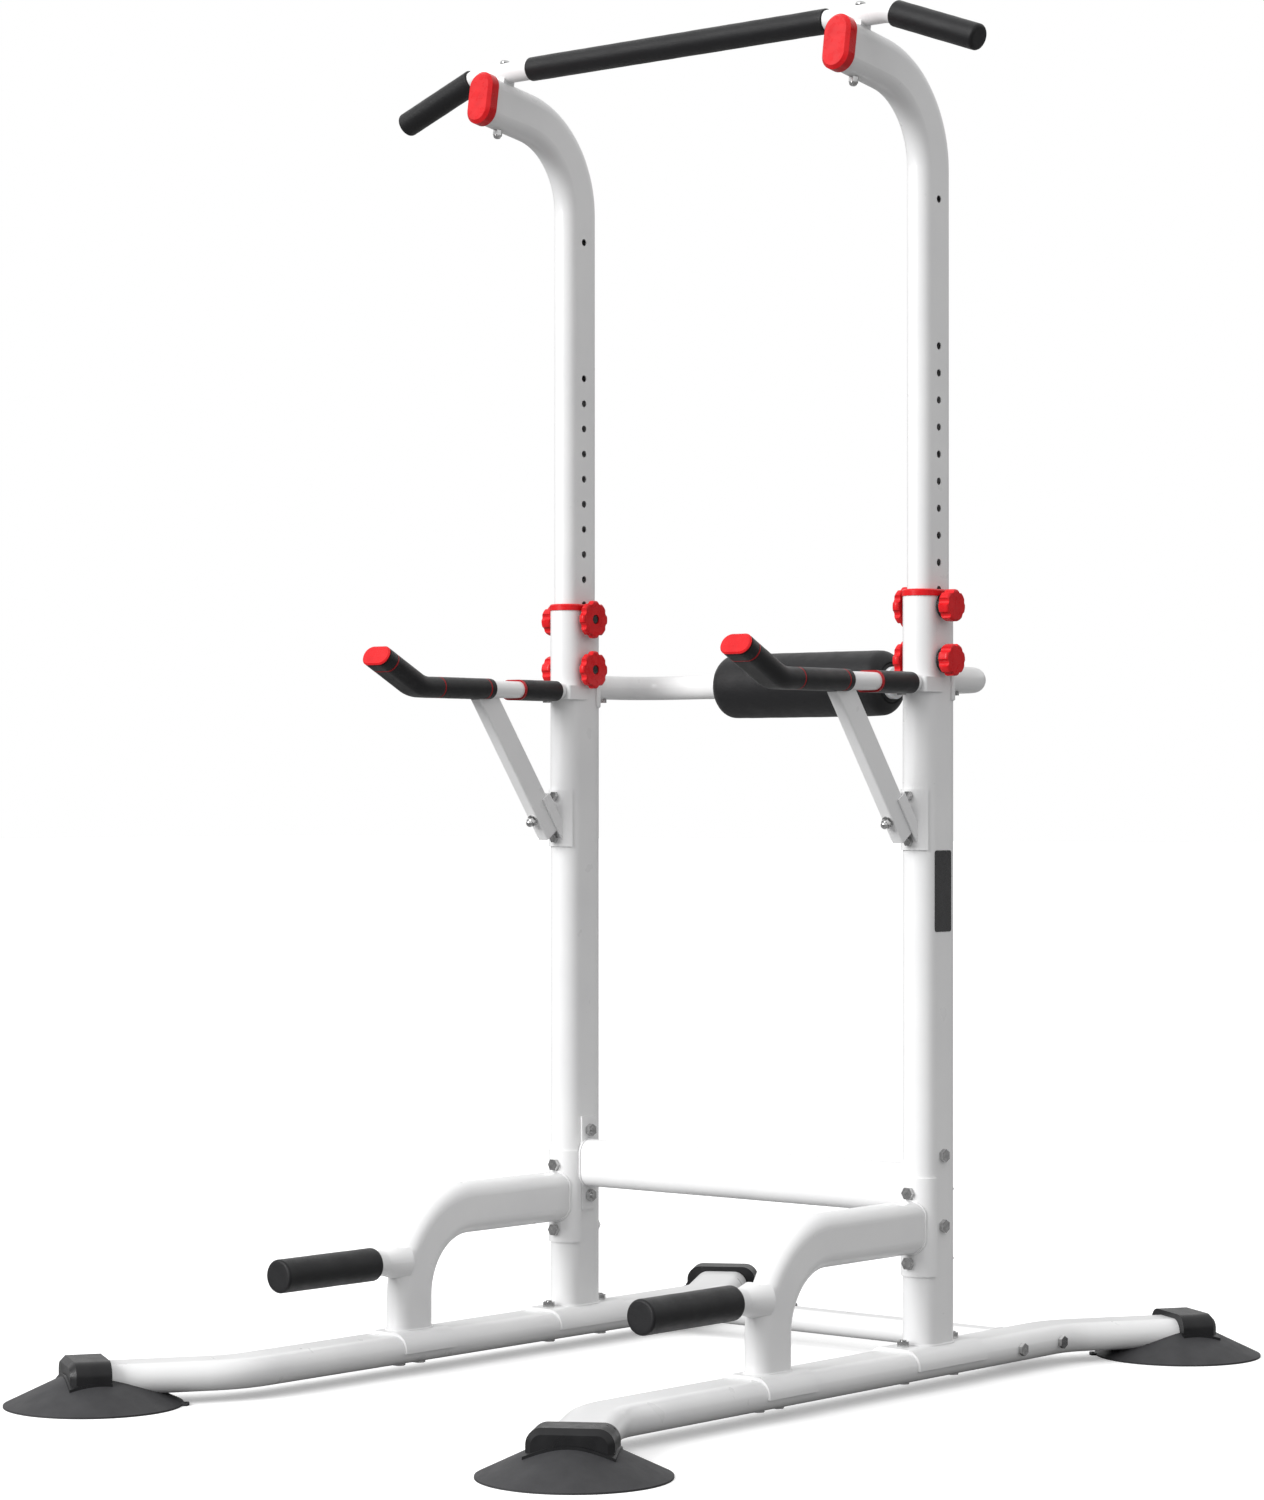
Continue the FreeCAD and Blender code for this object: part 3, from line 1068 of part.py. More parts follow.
# ---------------------------------------------------------------- check and write
doc.recompute()
problems = []
for obj in doc.Objects:
    if any(word in obj.State for word in ("Invalid", "Error")):
        problems.append("%s: %s" % (obj.Label, obj.State))
for name, obj in parts.items():
    shape = obj.Shape
    if shape.isNull() or not shape.isValid() or not shape.Solids:
        problems.append("%s: bad shape" % name)
if problems:
    raise RuntimeError("; ".join(problems))
os.makedirs("parts", exist_ok=True)
for name, obj in sorted(parts.items()):
    obj.Shape.exportStep("parts/%s.step" % name)
    low, high = obj.Shape.BoundBox, obj.Shape.BoundBox
    print("%-30s solids %2d  %8.1f %8.1f %8.1f  %8.1f %8.1f %8.1f  %10.0f" % (
        name, len(obj.Shape.Solids), low.XMin, low.YMin, low.ZMin, high.XMax, high.YMax,
        high.ZMax, obj.Shape.Volume))
print(len(parts), "parts")
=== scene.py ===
import json
import math

import bpy
from mathutils import Matrix, Vector, noise


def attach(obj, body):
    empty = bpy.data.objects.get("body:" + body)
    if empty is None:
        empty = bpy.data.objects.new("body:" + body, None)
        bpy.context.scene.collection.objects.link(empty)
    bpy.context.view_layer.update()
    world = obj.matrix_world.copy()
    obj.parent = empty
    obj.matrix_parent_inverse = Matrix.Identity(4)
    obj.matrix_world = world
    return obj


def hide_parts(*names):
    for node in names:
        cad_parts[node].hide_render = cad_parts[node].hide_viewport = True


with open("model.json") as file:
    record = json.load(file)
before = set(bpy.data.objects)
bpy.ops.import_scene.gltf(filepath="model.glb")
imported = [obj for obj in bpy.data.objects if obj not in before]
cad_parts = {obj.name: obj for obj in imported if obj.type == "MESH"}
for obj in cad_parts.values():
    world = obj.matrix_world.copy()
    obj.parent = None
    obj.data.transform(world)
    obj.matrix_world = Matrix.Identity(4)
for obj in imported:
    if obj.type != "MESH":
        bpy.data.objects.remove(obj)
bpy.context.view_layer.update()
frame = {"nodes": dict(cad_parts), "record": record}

# Power tower: materials, foam grips, roller pad, weld beads, floor, light and camera.
# Lengths are in metres, except those that go through spot() or MM, which are millimetres.
# Y values in this file are measured from the uprights' own centre plane, as in the drawing,
# and BACK moves them into the model's frame.

NODES = frame["nodes"]
MM = 0.001
BACK = 0.206
POST = 347                        # mm, centre of the machine to the centre of an upright
KNOB_SHADE_REACH = 0.0336                # how far a knob's painted shade (black on its back by the upright) reaches from the upright's centre

# mm: where the foam sits on the pull-up bar, dip arms and push-up grips, and the roller
BAR_Y, BAR_Z = -168.0, 2002.1
BAR_FOAM_END = 289                # half the length of the centre foam
BAR_TIP_X, BAR_TIP_DROP = 557.7, 56.4 + 1.72
BAR_SLOPE = (56.4, 553 - 399)     # how far the bar's ends drop, over which width
ARM_ROOT_Y, ARM_BEND_Y, ARM_TIP_Y = -57, -367, -452
ARM_Z, ARM_TIP_Z = 1039.3, 1083
ARM_FOAM = (("rear", 57, 143), ("ring_end", 212, 223), ("middle", 225, 328))
ARM_FRONT = 330                   # from here the foam runs on to the tip
PUSH_UP_Y, PUSH_UP_Z = (-463, -662), 168
ROLLER_Y, ROLLER_Z = 160, 1047.5

# Foam sections: width, height and wall
CENTRE_SECTION = (0.037, 0.037, 0.0024)
BAR_END_SECTION = (0.0385, 0.0385, 0.0032)
PUSH_UP_SECTION = (0.050, 0.050, 0.006)
ARM_SECTION = (0.054, 0.032, 0.0027)
BAR_END_LENGTH = 0.156
FRONT_STOPS, TIP_STARTS = 0.020, 0.018  # the arm's front and tip foam, measured from the tip
TIP_MIDDLE, TIP_SEED = 0.009, 440
PATH_STEP, ARM_STEP = 0.006, 0.003
NUDGE = 1e-4                      # keeps two stations of a path apart
ARM_RADIUS = 0.060
ANY_RADIUS = 0.1                  # for straight paths, which have no bend to use it on

# (height of the direction, brightness): a dark horizon and a bright ceiling
SKY = ((0.0, 0.16), (0.10, 0.18), (0.20, 0.84), (1.0, 1.0))
KEY_POWER = 2.95
KEY_SPREAD = 34                   # degrees, a broad soft light
KEY_FROM = (-0.22, -0.92, 0.42)   # towards the key light

# A level camera: millimetres for the lens and its sensor, degrees for the heading
FOCAL_LENGTH, SENSOR_WIDTH, CAMERA_SHIFT = 93.01, 36, 0.0325
CAMERA_AT, CAMERA_HEADING = (3.7195, -4.4575, 0.8687), 40.241
X_AXIS, Y_AXIS = Vector((1, 0, 0)), Vector((0, 1, 0))


# ------------------------------------------------------------------ materials
class Shader:
    """A principled material whose texture sits in the object's own coordinates."""

    def __init__(self, name):
        self.mat = bpy.data.materials.new(name)
        self.mat.use_nodes = True
        self.tree = self.mat.node_tree
        self.out = self.tree.nodes["Material Output"]
        self.main = self.tree.nodes["Principled BSDF"]
        self.place = self.node("ShaderNodeTexCoord").outputs["Object"]

    def node(self, kind, **values):
        made = self.tree.nodes.new(kind)
        for key, value in values.items():
            setattr(made, key, value)
        return made

    def link(self, out, into):
        self.tree.links.new(out, into)

    def set(self, **values):
        for key, value in values.items():
            self.main.inputs[key.replace("_", " ")].default_value = value
        return self

    def noise(self, scale, detail=2.0, rough=0.5, stretch=None):
        """Soft noise, scale features to the metre, between 0 and 1."""
        made = self.node("ShaderNodeTexNoise")
        made.inputs["Scale"].default_value = scale
        made.inputs["Detail"].default_value = detail
        made.inputs["Roughness"].default_value = rough
        place = self.place
        if stretch:
            mapping = self.node("ShaderNodeMapping")
            mapping.inputs["Scale"].default_value = stretch
            self.link(place, mapping.inputs["Vector"])
            place = mapping.outputs["Vector"]
        self.link(place, made.inputs["Vector"])
        return made.outputs["Fac"]

    def cells(self, scale):
        """Distance to the nearest of many scattered points: pores or grain."""
        made = self.node("ShaderNodeTexVoronoi", feature="F1")
        made.inputs["Scale"].default_value = scale
        self.link(self.place, made.inputs["Vector"])
        return made.outputs["Distance"]

    def span(self, value, low, high, start=0.3, end=0.7):
        """Stretches the part of a value from start to end over low to high."""
        made = self.node("ShaderNodeMapRange")
        made.inputs["From Min"].default_value = start
        made.inputs["From Max"].default_value = end
        made.inputs["To Min"].default_value = low
        made.inputs["To Max"].default_value = high
        self.link(value, made.inputs["Value"])
        return made.outputs["Result"]

    def colours(self, value, *stops):
        """Blends between colours along a value; each stop is (place, colour)."""
        ramp = self.node("ShaderNodeValToRGB")
        spots = ramp.color_ramp.elements
        while len(spots) < len(stops):
            spots.new(0.5)
        for place, (at, rgb) in zip(spots, stops):
            place.position = at
            place.color = (*rgb, 1.0)
        self.link(value, ramp.inputs["Fac"])
        return ramp.outputs["Color"]

    def bump(self, value, strength, distance, below=None):
        """Relief of a distance in metres, on top of another relief if one is given."""
        made = self.node("ShaderNodeBump")
        made.inputs["Strength"].default_value = strength
        made.inputs["Distance"].default_value = distance
        self.link(value, made.inputs["Height"])
        if below:
            self.link(below, made.inputs["Normal"])
        return made.outputs["Normal"]

    def finish(self, colour=None, rough=None, normal=None):
        for source, name in ((colour, "Base Color"), (rough, "Roughness"), (normal, "Normal")):
            if source:
                self.link(source, self.main.inputs[name])
        return self.mat


def powder_coat():
    """White powder coat: faint orange peel, a little uneven gloss."""
    s = Shader("white_powder_coat").set(Coat_Weight=0.25, Coat_Roughness=0.12, IOR=1.5)
    peel = s.bump(s.noise(900, 1.5), 0.10, 0.00025, s.bump(s.noise(130, 1.0), 0.05, 0.0004))
    return s.finish(
        s.colours(s.noise(9, 3.0), (0.3, (0.765, 0.765, 0.77)), (0.7, (0.805, 0.805, 0.805))),
        s.span(s.noise(22, 3.0), 0.27, 0.38), peel)


def red_plastic(name="red_gloss_plastic", shade_reach=None, shade_factor=1.0):
    """Glossy red plastic with faint flow marks. Painted shade: the red can be dimmed, and a
    knob's back by the upright is painted black.
    """
    s = Shader(name).set(IOR=1.49, Specular_IOR_Level=0.28)
    skin = s.bump(s.noise(260, 2.0), 0.05, 0.0003)
    red = s.colours(s.noise(40, 3.0), (0.25, (0.56 * shade_factor, 0.006, 0.010)),
                    (0.75, (0.70 * shade_factor, 0.014, 0.018)))
    if shade_reach:                       # painted shade of the gap between knob and tube: black where | |x| - post | is less than the reach
        apart = s.node("ShaderNodeSeparateXYZ")
        s.link(s.place, apart.inputs["Vector"])
        off = s.node("ShaderNodeMath", operation="ABSOLUTE")
        s.link(apart.outputs["X"], off.inputs[0])
        inner = s.node("ShaderNodeMath", operation="SUBTRACT")
        s.link(off.outputs[0], inner.inputs[0])
        inner.inputs[1].default_value = POST * MM
        reach = s.node("ShaderNodeMath", operation="ABSOLUTE")
        s.link(inner.outputs[0], reach.inputs[0])
        inside = s.node("ShaderNodeMath", operation="LESS_THAN")
        s.link(reach.outputs[0], inside.inputs[0])
        inside.inputs[1].default_value = shade_reach
        mix = s.node("ShaderNodeMix", data_type="RGBA")
        s.link(inside.outputs[0], mix.inputs["Factor"])
        s.link(red, mix.inputs["A"])
        s.link(s.colours(s.noise(60, 3.0), (0.3, (0.010, 0.010, 0.011)),
                         (0.7, (0.020, 0.020, 0.021))), mix.inputs["B"])
        red = mix.outputs["Result"]
    return s.finish(red, s.span(s.noise(90, 3.0), 0.22, 0.36), skin)


def rubber():
    """Moulded grey rubber, dusty and slightly mottled."""
    s = Shader("cup_rubber").set(IOR=1.5, Specular_IOR_Level=0.22)
    grain = s.bump(s.noise(1400, 3.0), 0.25, 0.0002, s.bump(s.noise(60, 2.0), 0.12, 0.0006))
    return s.finish(
        s.colours(s.noise(18, 5.0, 0.6), (0.25, (0.034, 0.034, 0.036)),
                  (0.75, (0.052, 0.052, 0.055))),
        s.span(s.noise(35, 4.0), 0.46, 0.60), grain)


def black_plastic():
    """Black moulded plastic with a fine spark-eroded grain."""
    s = Shader("black_plastic").set(IOR=1.5, Specular_IOR_Level=0.35)
    grain = s.bump(s.cells(1100), 0.35, 0.00015)
    return s.finish(
        s.colours(s.noise(30, 3.0), (0.3, (0.006, 0.006, 0.007)), (0.7, (0.012, 0.012, 0.013))),
        s.span(s.noise(50, 3.0), 0.26, 0.38), grain)


def pale_plastic():
    """Natural white plastic of the roller's stop rings."""
    s = Shader("pale_plastic").set(IOR=1.5, Subsurface_Weight=0.05)
    return s.finish(
        s.colours(s.noise(60, 2.0), (0.3, (0.70, 0.70, 0.71)), (0.7, (0.78, 0.78, 0.78))),
        s.span(s.noise(80, 2.0), 0.32, 0.45), s.bump(s.noise(700, 2.0), 0.1, 0.0002))


def foam(name, grain, rough, dark, light):
    """Closed-cell foam: fine pores over soft lumps, a dull sheen."""
    s = Shader(name).set(IOR=1.45, Sheen_Weight=0.04, Sheen_Roughness=0.5,
                         Specular_IOR_Level=0.30)
    pores = s.bump(s.cells(grain), 0.55, 0.00035,
                   s.bump(s.noise(grain * 0.35, 3.0, 0.6), 0.35, 0.0005,
                          s.bump(s.noise(38, 2.0), 0.25, 0.0010)))
    return s.finish(
        s.colours(s.noise(grain * 0.5, 4.0, 0.7), (0.30, dark), (0.72, light)),
        s.span(s.noise(28, 4.0), rough - 0.07, rough + 0.08), pores)


def steel(name, dark, light, rough):
    """Plated steel with fine drawn lines and a few dull patches."""
    s = Shader(name).set(Metallic=1.0)
    lines = s.bump(s.noise(420, 3.0, 0.6, (1.0, 1.0, 0.25)), 0.18, 0.0002)
    return s.finish(
        s.colours(s.noise(160, 4.0), (0.25, (dark, dark, dark)), (0.75, (light, light, light))),
        s.span(s.noise(220, 4.0), rough, rough + 0.12), lines)


def label_film():
    """A blank black sticker under clear film."""
    s = Shader("blank_label").set(Coat_Weight=0.6, Coat_Roughness=0.08)
    return s.finish(
        s.colours(s.noise(70, 3.0), (0.3, (0.012, 0.012, 0.013)), (0.7, (0.020, 0.020, 0.022))),
        s.span(s.noise(110, 3.0), 0.22, 0.34), s.bump(s.noise(240, 2.0), 0.06, 0.0003))


def floor_paint():
    """A plain pale studio floor that throws little light back up."""
    s = Shader("studio_floor").set(IOR=1.3, Specular_IOR_Level=0.1, Emission_Strength=0.28)
    s.finish(
        s.colours(s.noise(3, 2.0), (0.3, (0.90, 0.90, 0.90)), (0.7, (0.915, 0.915, 0.915))),
        s.span(s.noise(5, 2.0), 0.75, 0.85))
    dull = s.node("ShaderNodeBsdfDiffuse")
    dull.inputs["Color"].default_value = (0.26, 0.26, 0.26, 1)
    ray = s.node("ShaderNodeLightPath")
    mix = s.node("ShaderNodeMixShader")
    s.link(ray.outputs["Is Camera Ray"], mix.inputs["Fac"])
    s.link(dull.outputs["BSDF"], mix.inputs[1])
    s.link(s.main.outputs["BSDF"], mix.inputs[2])
    s.link(mix.outputs["Shader"], s.out.inputs["Surface"])
    return s.mat


GRIP = foam("grip_foam", 1500, 0.40, (0.004, 0.004, 0.005), (0.013, 0.013, 0.014))
ROLLER = foam("roller_foam", 1150, 0.44, (0.005, 0.005, 0.006), (0.015, 0.015, 0.016))
FINISH = {
    "white_paint": powder_coat(), "red_plastic": red_plastic(), "cup_rubber": rubber(),
    "black_plastic": black_plastic(), "pale_plastic": pale_plastic(),
    "label_black": label_film(), "grip_foam": GRIP, "roller_foam": ROLLER,
    "zinc_steel": steel("zinc_plate", 0.36, 0.72, 0.12),
    "dark_steel": steel("black_oxide_steel", 0.05, 0.11, 0.24),
}
# painted shade: the arm's red rings between the foam get a half-bright copy of the red plastic
OWN_FINISH = {"arm_grip_rings": red_plastic("shaded_red_plastic", shade_factor=0.5)}
# painted shade: the knob's back next to the upright is painted black
KNOB = red_plastic("red_knob_plastic", KNOB_SHADE_REACH)
for row in frame["record"]["subparts"]:
    piece = NODES[row["node"]]
    piece.data.materials.clear()
    usual = KNOB if row["node"].endswith("clamp_knob") else FINISH[row["material_slot"]]
    piece.data.materials.append(OWN_FINISH.get(row["node"], usual))

# Moulded and machined CAD pieces get their small edge radii here.
SOFT_EDGES = {
    "foot_cap": (1.6, 3), "clamp_knob": (0.8, 3), "bolts": (0.45, 2), "lock_nuts": (0.45, 2),
    "m8_screws": (0.4, 2), "caps": (0.7, 2), "tube_collars": (0.7, 2), "rings": (0.5, 2),
    "suction_cup": (1.0, 2), "screw": (0.4, 2), "brackets": (0.4, 2),
}
for name, piece in NODES.items():
    for ending, (width, steps) in SOFT_EDGES.items():
        if name.endswith(ending):
            edge = piece.modifiers.new("soft_edges", "BEVEL")
            edge.width = width * MM
            edge.segments = steps
            edge.limit_method = "ANGLE"
            edge.angle_limit = math.radians(38)
            edge.use_clamp_overlap = True
            edge.harden_normals = True
            break


# ------------------------------------------------------------------ mesh helpers
def make(name, verts, faces, material, sharp=None):
    """A smooth-shaded mesh object."""
    mesh = bpy.data.meshes.new(name)
    mesh.from_pydata([tuple(v) for v in verts], [], faces)
    mesh.validate()
    mesh.update()
    mesh.materials.append(material)
    mesh.shade_smooth()
    if sharp:
        mesh.set_sharp_from_angle(angle=math.radians(sharp))
    obj = bpy.data.objects.new(name, mesh)
    bpy.context.scene.collection.objects.link(obj)
    return obj


def oval_ring(wide, tall, count):
    """Points and outward normals round a flat oval, wide along a, tall along b."""
    r = min(wide, tall) / 2
    ha, hb = wide / 2 - r, tall / 2 - r
    straight = 2 * (ha + hb)
    total = 2 * math.pi * r + 2 * straight
    out = []
    for i in range(count):
        d = total * i / count
        # quarter arc, straight, half arc, straight, quarter arc, starting at +a (or +b)
        quarter = math.pi * r / 2
        if d < quarter:
            t, c = d / r, 1
        elif d < quarter + straight:
            t, c = math.pi / 2, 1 - 2 * (d - quarter) / straight if straight else 1
        elif d < 3 * quarter + straight:
            t, c = math.pi / 2 + (d - quarter - straight) / r, -1
        elif d < 3 * quarter + 2 * straight:
            t, c = 3 * math.pi / 2, -1 + 2 * (d - 3 * quarter - straight) / straight
        else:
            t, c = 3 * math.pi / 2 + (d - 3 * quarter - 2 * straight) / r, 1
        if ha >= hb:
            out.append(((c * ha + r * math.cos(t), r * math.sin(t)),
                        (math.cos(t), math.sin(t))))
        else:
            out.append(((-r * math.sin(t), c * hb + r * math.cos(t)),
                        (-math.sin(t), math.cos(t))))
    return out


def bent(corners, radius, step):
    """(point, direction) every step along straights joined by one arc size."""
    corners = [Vector(c) for c in corners]
    runs, start = [], corners[0]
    for i in range(1, len(corners) - 1):
        one = (corners[i - 1] - corners[i]).normalized()
        two = (corners[i + 1] - corners[i]).normalized()
        half = one.angle(two) / 2
        back = radius / math.tan(half)
        centre = corners[i] + (one + two).normalized() * (radius / math.sin(half))
        a, b = corners[i] + one * back, corners[i] + two * back
        runs.append(("line", start, a))
        runs.append(("arc", a, b, centre))
        start = b
    runs.append(("line", start, corners[-1]))
    out = []
    for run in runs:
        a, b = run[1], run[2]
        if run[0] == "line":
            n = max(1, round((b - a).length / step))
            out += [(a.lerp(b, k / n), (b - a).normalized()) for k in range(n)]
        else:
            u, v = a - run[3], b - run[3]
            turn = u.angle(v)
            axis = u.cross(v).normalized()
            n = max(4, round(radius * turn / step))
            for k in range(n):
                spoke = Matrix.Rotation(turn * k / n, 3, axis) @ u
                out.append((run[3] + spoke, axis.cross(spoke).normalized()))
    out.append((corners[-1], runs[-1][2] - runs[-1][1]))
    return [(p, t.normalized()) for p, t in out]


def lump(point, size, seed):
    """Small smooth unevenness of a hand-cut foam surface."""
    return size * (noise.noise(point * 45 + Vector((seed, 0, 0))) +
                   0.5 * noise.noise(point * 140 + Vector((0, seed, 0))))


def foam_tube(name, path, across, wide, tall, wall, seed, count=72, round_edge=0.0022,
              closed=(False, False), uneven=0.00022):
    """Foam along a path. Open ends show their wall; closed ones end in a flat disc.

    The section is wide along the direction across and tall at right angles to it. An
    unevenness of the given size covers the outside, different for each seed.
    """
    ring = oval_ring(wide, tall, count)
    reach = [0.0]
    for (a, _), (b, _) in zip(path, path[1:]):
        reach.append(reach[-1] + (b - a).length)
    total = reach[-1]
    core = min(wide, tall) / 2
    face_rings, edge_rings, end_gap = 4, 5, 0.004

    def end_rings(is_closed):
        """(distance from the end, inset) of the rings of an end face and its rounded edge."""
        edge = round_edge if is_closed else min(round_edge, wall * 0.8)
        limit = core * 0.97 if is_closed else wall
        rings = [(0.0, limit + (edge - limit) * k / face_rings) for k in range(face_rings)]
        for k in range(edge_rings + 1):
            a = math.pi / 2 * k / edge_rings
            rings.append((edge * (1 - math.cos(a)), edge * (1 - math.sin(a))))
        return rings

    first, last = end_rings(closed[0]), end_rings(closed[1])
    keep = [d for d in reach if end_gap < d < total - end_gap]
    stations = first + [(d, 0.0) for d in keep] + [(total - d, i) for d, i in reversed(last)]

    def at(distance):
        distance = min(max(distance, 0.0), total)
        for i in range(len(reach) - 1):
            if distance <= reach[i + 1] + 1e-9:
                f = (distance - reach[i]) / max(reach[i + 1] - reach[i], 1e-9)
                (p, t), (q, u) = path[i], path[i + 1]
                return p.lerp(q, f), t.lerp(u, f).normalized()
        return path[-1]

    verts, faces = [], []
    for distance, inset in stations:
        p, t = at(distance)
        n = t.cross(across).normalized()
        for (a, b), (na, nb) in ring:
            normal = across * na + n * nb
            here = p + across * a + n * b
            soft = lump(here, uneven, seed) if inset < 0.002 else 0.0
            verts.append(here + normal * (soft - inset))
    rows = len(stations)
    for r in range(rows - 1):
        for k in range(count):
            a, b = r * count + k, r * count + (k + 1) % count
            faces.append((a, b, b + count, a + count))
    for is_closed, row in ((closed[0], 0), (closed[1], rows - 1)):
        if is_closed:
            loop = list(range(row * count, (row + 1) * count))
            faces.append(tuple(loop if row else reversed(loop)))
    return make(name, verts, faces, GRIP, 50)


def soft_piece(obj, body, node):
    """Puts a foam piece on its body and hides the plain CAD solid it stands for."""
    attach(obj, body)
    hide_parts(node)


def spot(x, y, z):
    """A point given in millimetres from the uprights' centre plane."""
    return Vector((x * MM, y * MM + BACK, z * MM))


def arm_foam(name, part, sign, seed):
    """One length of a dip arm's foam."""
    soft_piece(foam_tube(name, part, X_AXIS, *ARM_SECTION, 31.0 * sign + seed,
                         count=96, round_edge=0.0016, uneven=0.00018),
               "base_frame", ("left" if sign < 0 else "right") + "_arm_grips")


# ------------------------------------------------------------------ foam grips
centre = bent([spot(-BAR_FOAM_END, BAR_Y, BAR_Z), spot(BAR_FOAM_END, BAR_Y, BAR_Z)],
              ANY_RADIUS, PATH_STEP)
soft_piece(foam_tube("bar_centre_foam", centre, Y_AXIS, *CENTRE_SECTION, 3.0),
           "upper_frame", "bar_centre_grip")
for side, sign in (("left", -1), ("right", 1)):
    slope = math.atan2(*BAR_SLOPE)
    end = spot(sign * BAR_TIP_X, BAR_Y, BAR_Z - BAR_TIP_DROP)
    start = end + Vector((-sign * math.cos(slope), 0, math.sin(slope))) * BAR_END_LENGTH
    line = bent([start, end], ANY_RADIUS, PATH_STEP)
    soft_piece(foam_tube(side + "_bar_end_foam", line, Y_AXIS, *BAR_END_SECTION,
                         11.0 * sign, closed=(False, True), round_edge=0.005),
               "upper_frame", "bar_outer_grips")

    post = sign * POST
    push = bent([spot(post, y, PUSH_UP_Z) for y in PUSH_UP_Y], ANY_RADIUS, PATH_STEP)
    soft_piece(foam_tube(side + "_push_up_foam", push, X_AXIS, *PUSH_UP_SECTION,
                         23.0 * sign, count=96, closed=(False, True), round_edge=0.004),
               "base_frame", "push_up_grips")

    arm = bent([spot(post, ARM_ROOT_Y, ARM_Z), spot(post, ARM_BEND_Y, ARM_Z),
                spot(post, ARM_TIP_Y, ARM_TIP_Z)], ARM_RADIUS, ARM_STEP)
    for tag, near, far in ARM_FOAM:
        part = [(p, t) for p, t in arm if near * MM + NUDGE < BACK - p.y < far * MM - NUDGE]
        lead, tail = spot(post, -near, ARM_Z), spot(post, -far, ARM_Z)
        part = [(lead, -Y_AXIS)] + part + [(tail, -Y_AXIS)]
        arm_foam("%s_arm_foam_%s" % (side, tag), part, sign, near)
    tip = [(spot(post, -ARM_FRONT, ARM_Z), -Y_AXIS)]
    tip += [(p, t) for p, t in arm if BACK - p.y > ARM_FRONT * MM + NUDGE]
    end, way = tip[-1]
    ring = end - way * FRONT_STOPS
    part = [(p, t) for p, t in tip if (p - ring).dot(way) < -NUDGE] + [(ring, way)]
    arm_foam(side + "_arm_foam_front", part, sign, ARM_FRONT)
    part = [(end - way * back, way) for back in (TIP_STARTS, TIP_MIDDLE)] + [(end, way)]
    arm_foam(side + "_arm_foam_tip", part, sign, TIP_SEED)


# ------------------------------------------------------------------ roller
def roller():
    """The ankle roller: crowned foam with soft shoulders that dips in round its core."""
    count, half, size = 128, 0.1625, 0.051            # points round, half length, radius
    hole, rim, flat, crowning, shoulder = 0.0232, 0.0320, 0.0088, 0.0006, 0.020
    profile = [(-half, hole + flat * k / 6) for k in range(7)]
    for k in range(13):
        a = math.pi / 2 * k / 12
        profile.append((-half + shoulder * (1 - math.cos(a)),
                        size - crowning - shoulder * (1 - math.sin(a))))
    for k in range(1, 48):
        x = -half + shoulder + (2 * half - 2 * shoulder) * k / 48
        crown = crowning * (1 - (x / half) ** 4)
        profile.append((x, size - crowning + crown))
    for k in range(13):
        a = math.pi / 2 * (1 - k / 12)
        profile.append((half - shoulder * (1 - math.cos(a)),
                        size - crowning - shoulder * (1 - math.sin(a))))
    profile += [(half, rim - flat * k / 6) for k in range(7)]
    verts, faces = [], []
    for x, r in profile:
        for i in range(count):
            a = 2 * math.pi * i / count
            out = Vector((0, math.cos(a), math.sin(a)))
            here = spot(0, ROLLER_Y, ROLLER_Z) + Vector((x, 0, 0)) + out * r
            soft = lump(here, 0.0003, 7.0) if r > 0.035 else 0.0
            verts.append(here + out * min(soft, 0.0002))
    for r in range(len(profile) - 1):
        for i in range(count):
            a, b = r * count + i, r * count + (i + 1) % count
            faces.append((a, b, b + count, a + count))
    return make("roller_foam_pad", verts, faces, ROLLER, 60)


soft_piece(roller(), "roller", "roller_pad")


# ------------------------------------------------------------------ weld beads
RIPPLE = 0.0034                   # from one ripple of a weld to the next
# mm: the handle's leg, the joint of its frame, the crossbar and the rail with its section
LEG_Y, FRAME_Z, CROSSBAR_Z = -383, 238, 290
RAIL_Z, RAIL_FLAT, RAIL_RADIUS = 38, 22, 26
BRACE_HALF = (10.4, 24.9)         # mm
BRACE_SQUARE = 0.28               # 1 is an ellipse, 0 a sharp rectangle


def bead(name, points, size, body, closed=True):
    """A painted weld: a low ripple that follows the joint line."""
    count = len(points)
    verts, faces = [], []
    sides = 8
    travel = 0.0
    for i, p in enumerate(points):
        q = points[(i + 1) % count] if closed or i < count - 1 else p + (p - points[i - 1])
        o = points[i - 1] if closed or i else p - (q - p)
        t = (q - o).normalized()
        side = t.cross(Vector((0.31, 0.52, 0.79))).normalized()
        up = t.cross(side).normalized()
        travel += (q - p).length
        r = size * (1 + 0.10 * math.sin(travel / RIPPLE * 2 * math.pi) +
                    0.12 * noise.noise(p * 160))
        if not closed and i in (0, count - 1):
            r *= 0.45
        for k in range(sides):
            a = 2 * math.pi * k / sides
            verts.append(p + side * (r * math.cos(a)) + up * (r * math.sin(a)))
    rows = count if closed else count - 1
    for i in range(rows):
        j = (i + 1) % count
        for k in range(sides):
            faces.append((i * sides + k, i * sides + (k + 1) % sides,
                          j * sides + (k + 1) % sides, j * sides + k))
    if not closed:
        faces.append(tuple(reversed(range(sides))))
        faces.append(tuple(range((count - 1) * sides, count * sides)))
    obj = make(name, verts, faces, FINISH["white_paint"])
    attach(obj, body)


def oval_line(wide, tall, step=0.0011):
    """Flat-oval outline in millimetres at about one point every step."""
    r = min(wide, tall) / 2
    length = 2 * math.pi * r + 4 * (max(wide, tall) / 2 - r)
    return [p for p, _ in oval_ring(wide, tall, int(length * MM / step))]


def rail_top(x):
    """Height of a 4 mm saddle over the rail, x from the rail's centre."""
    side = max(0.0, abs(x) - RAIL_FLAT)
    return RAIL_Z + math.sqrt(max(RAIL_RADIUS ** 2 - side ** 2, 0))


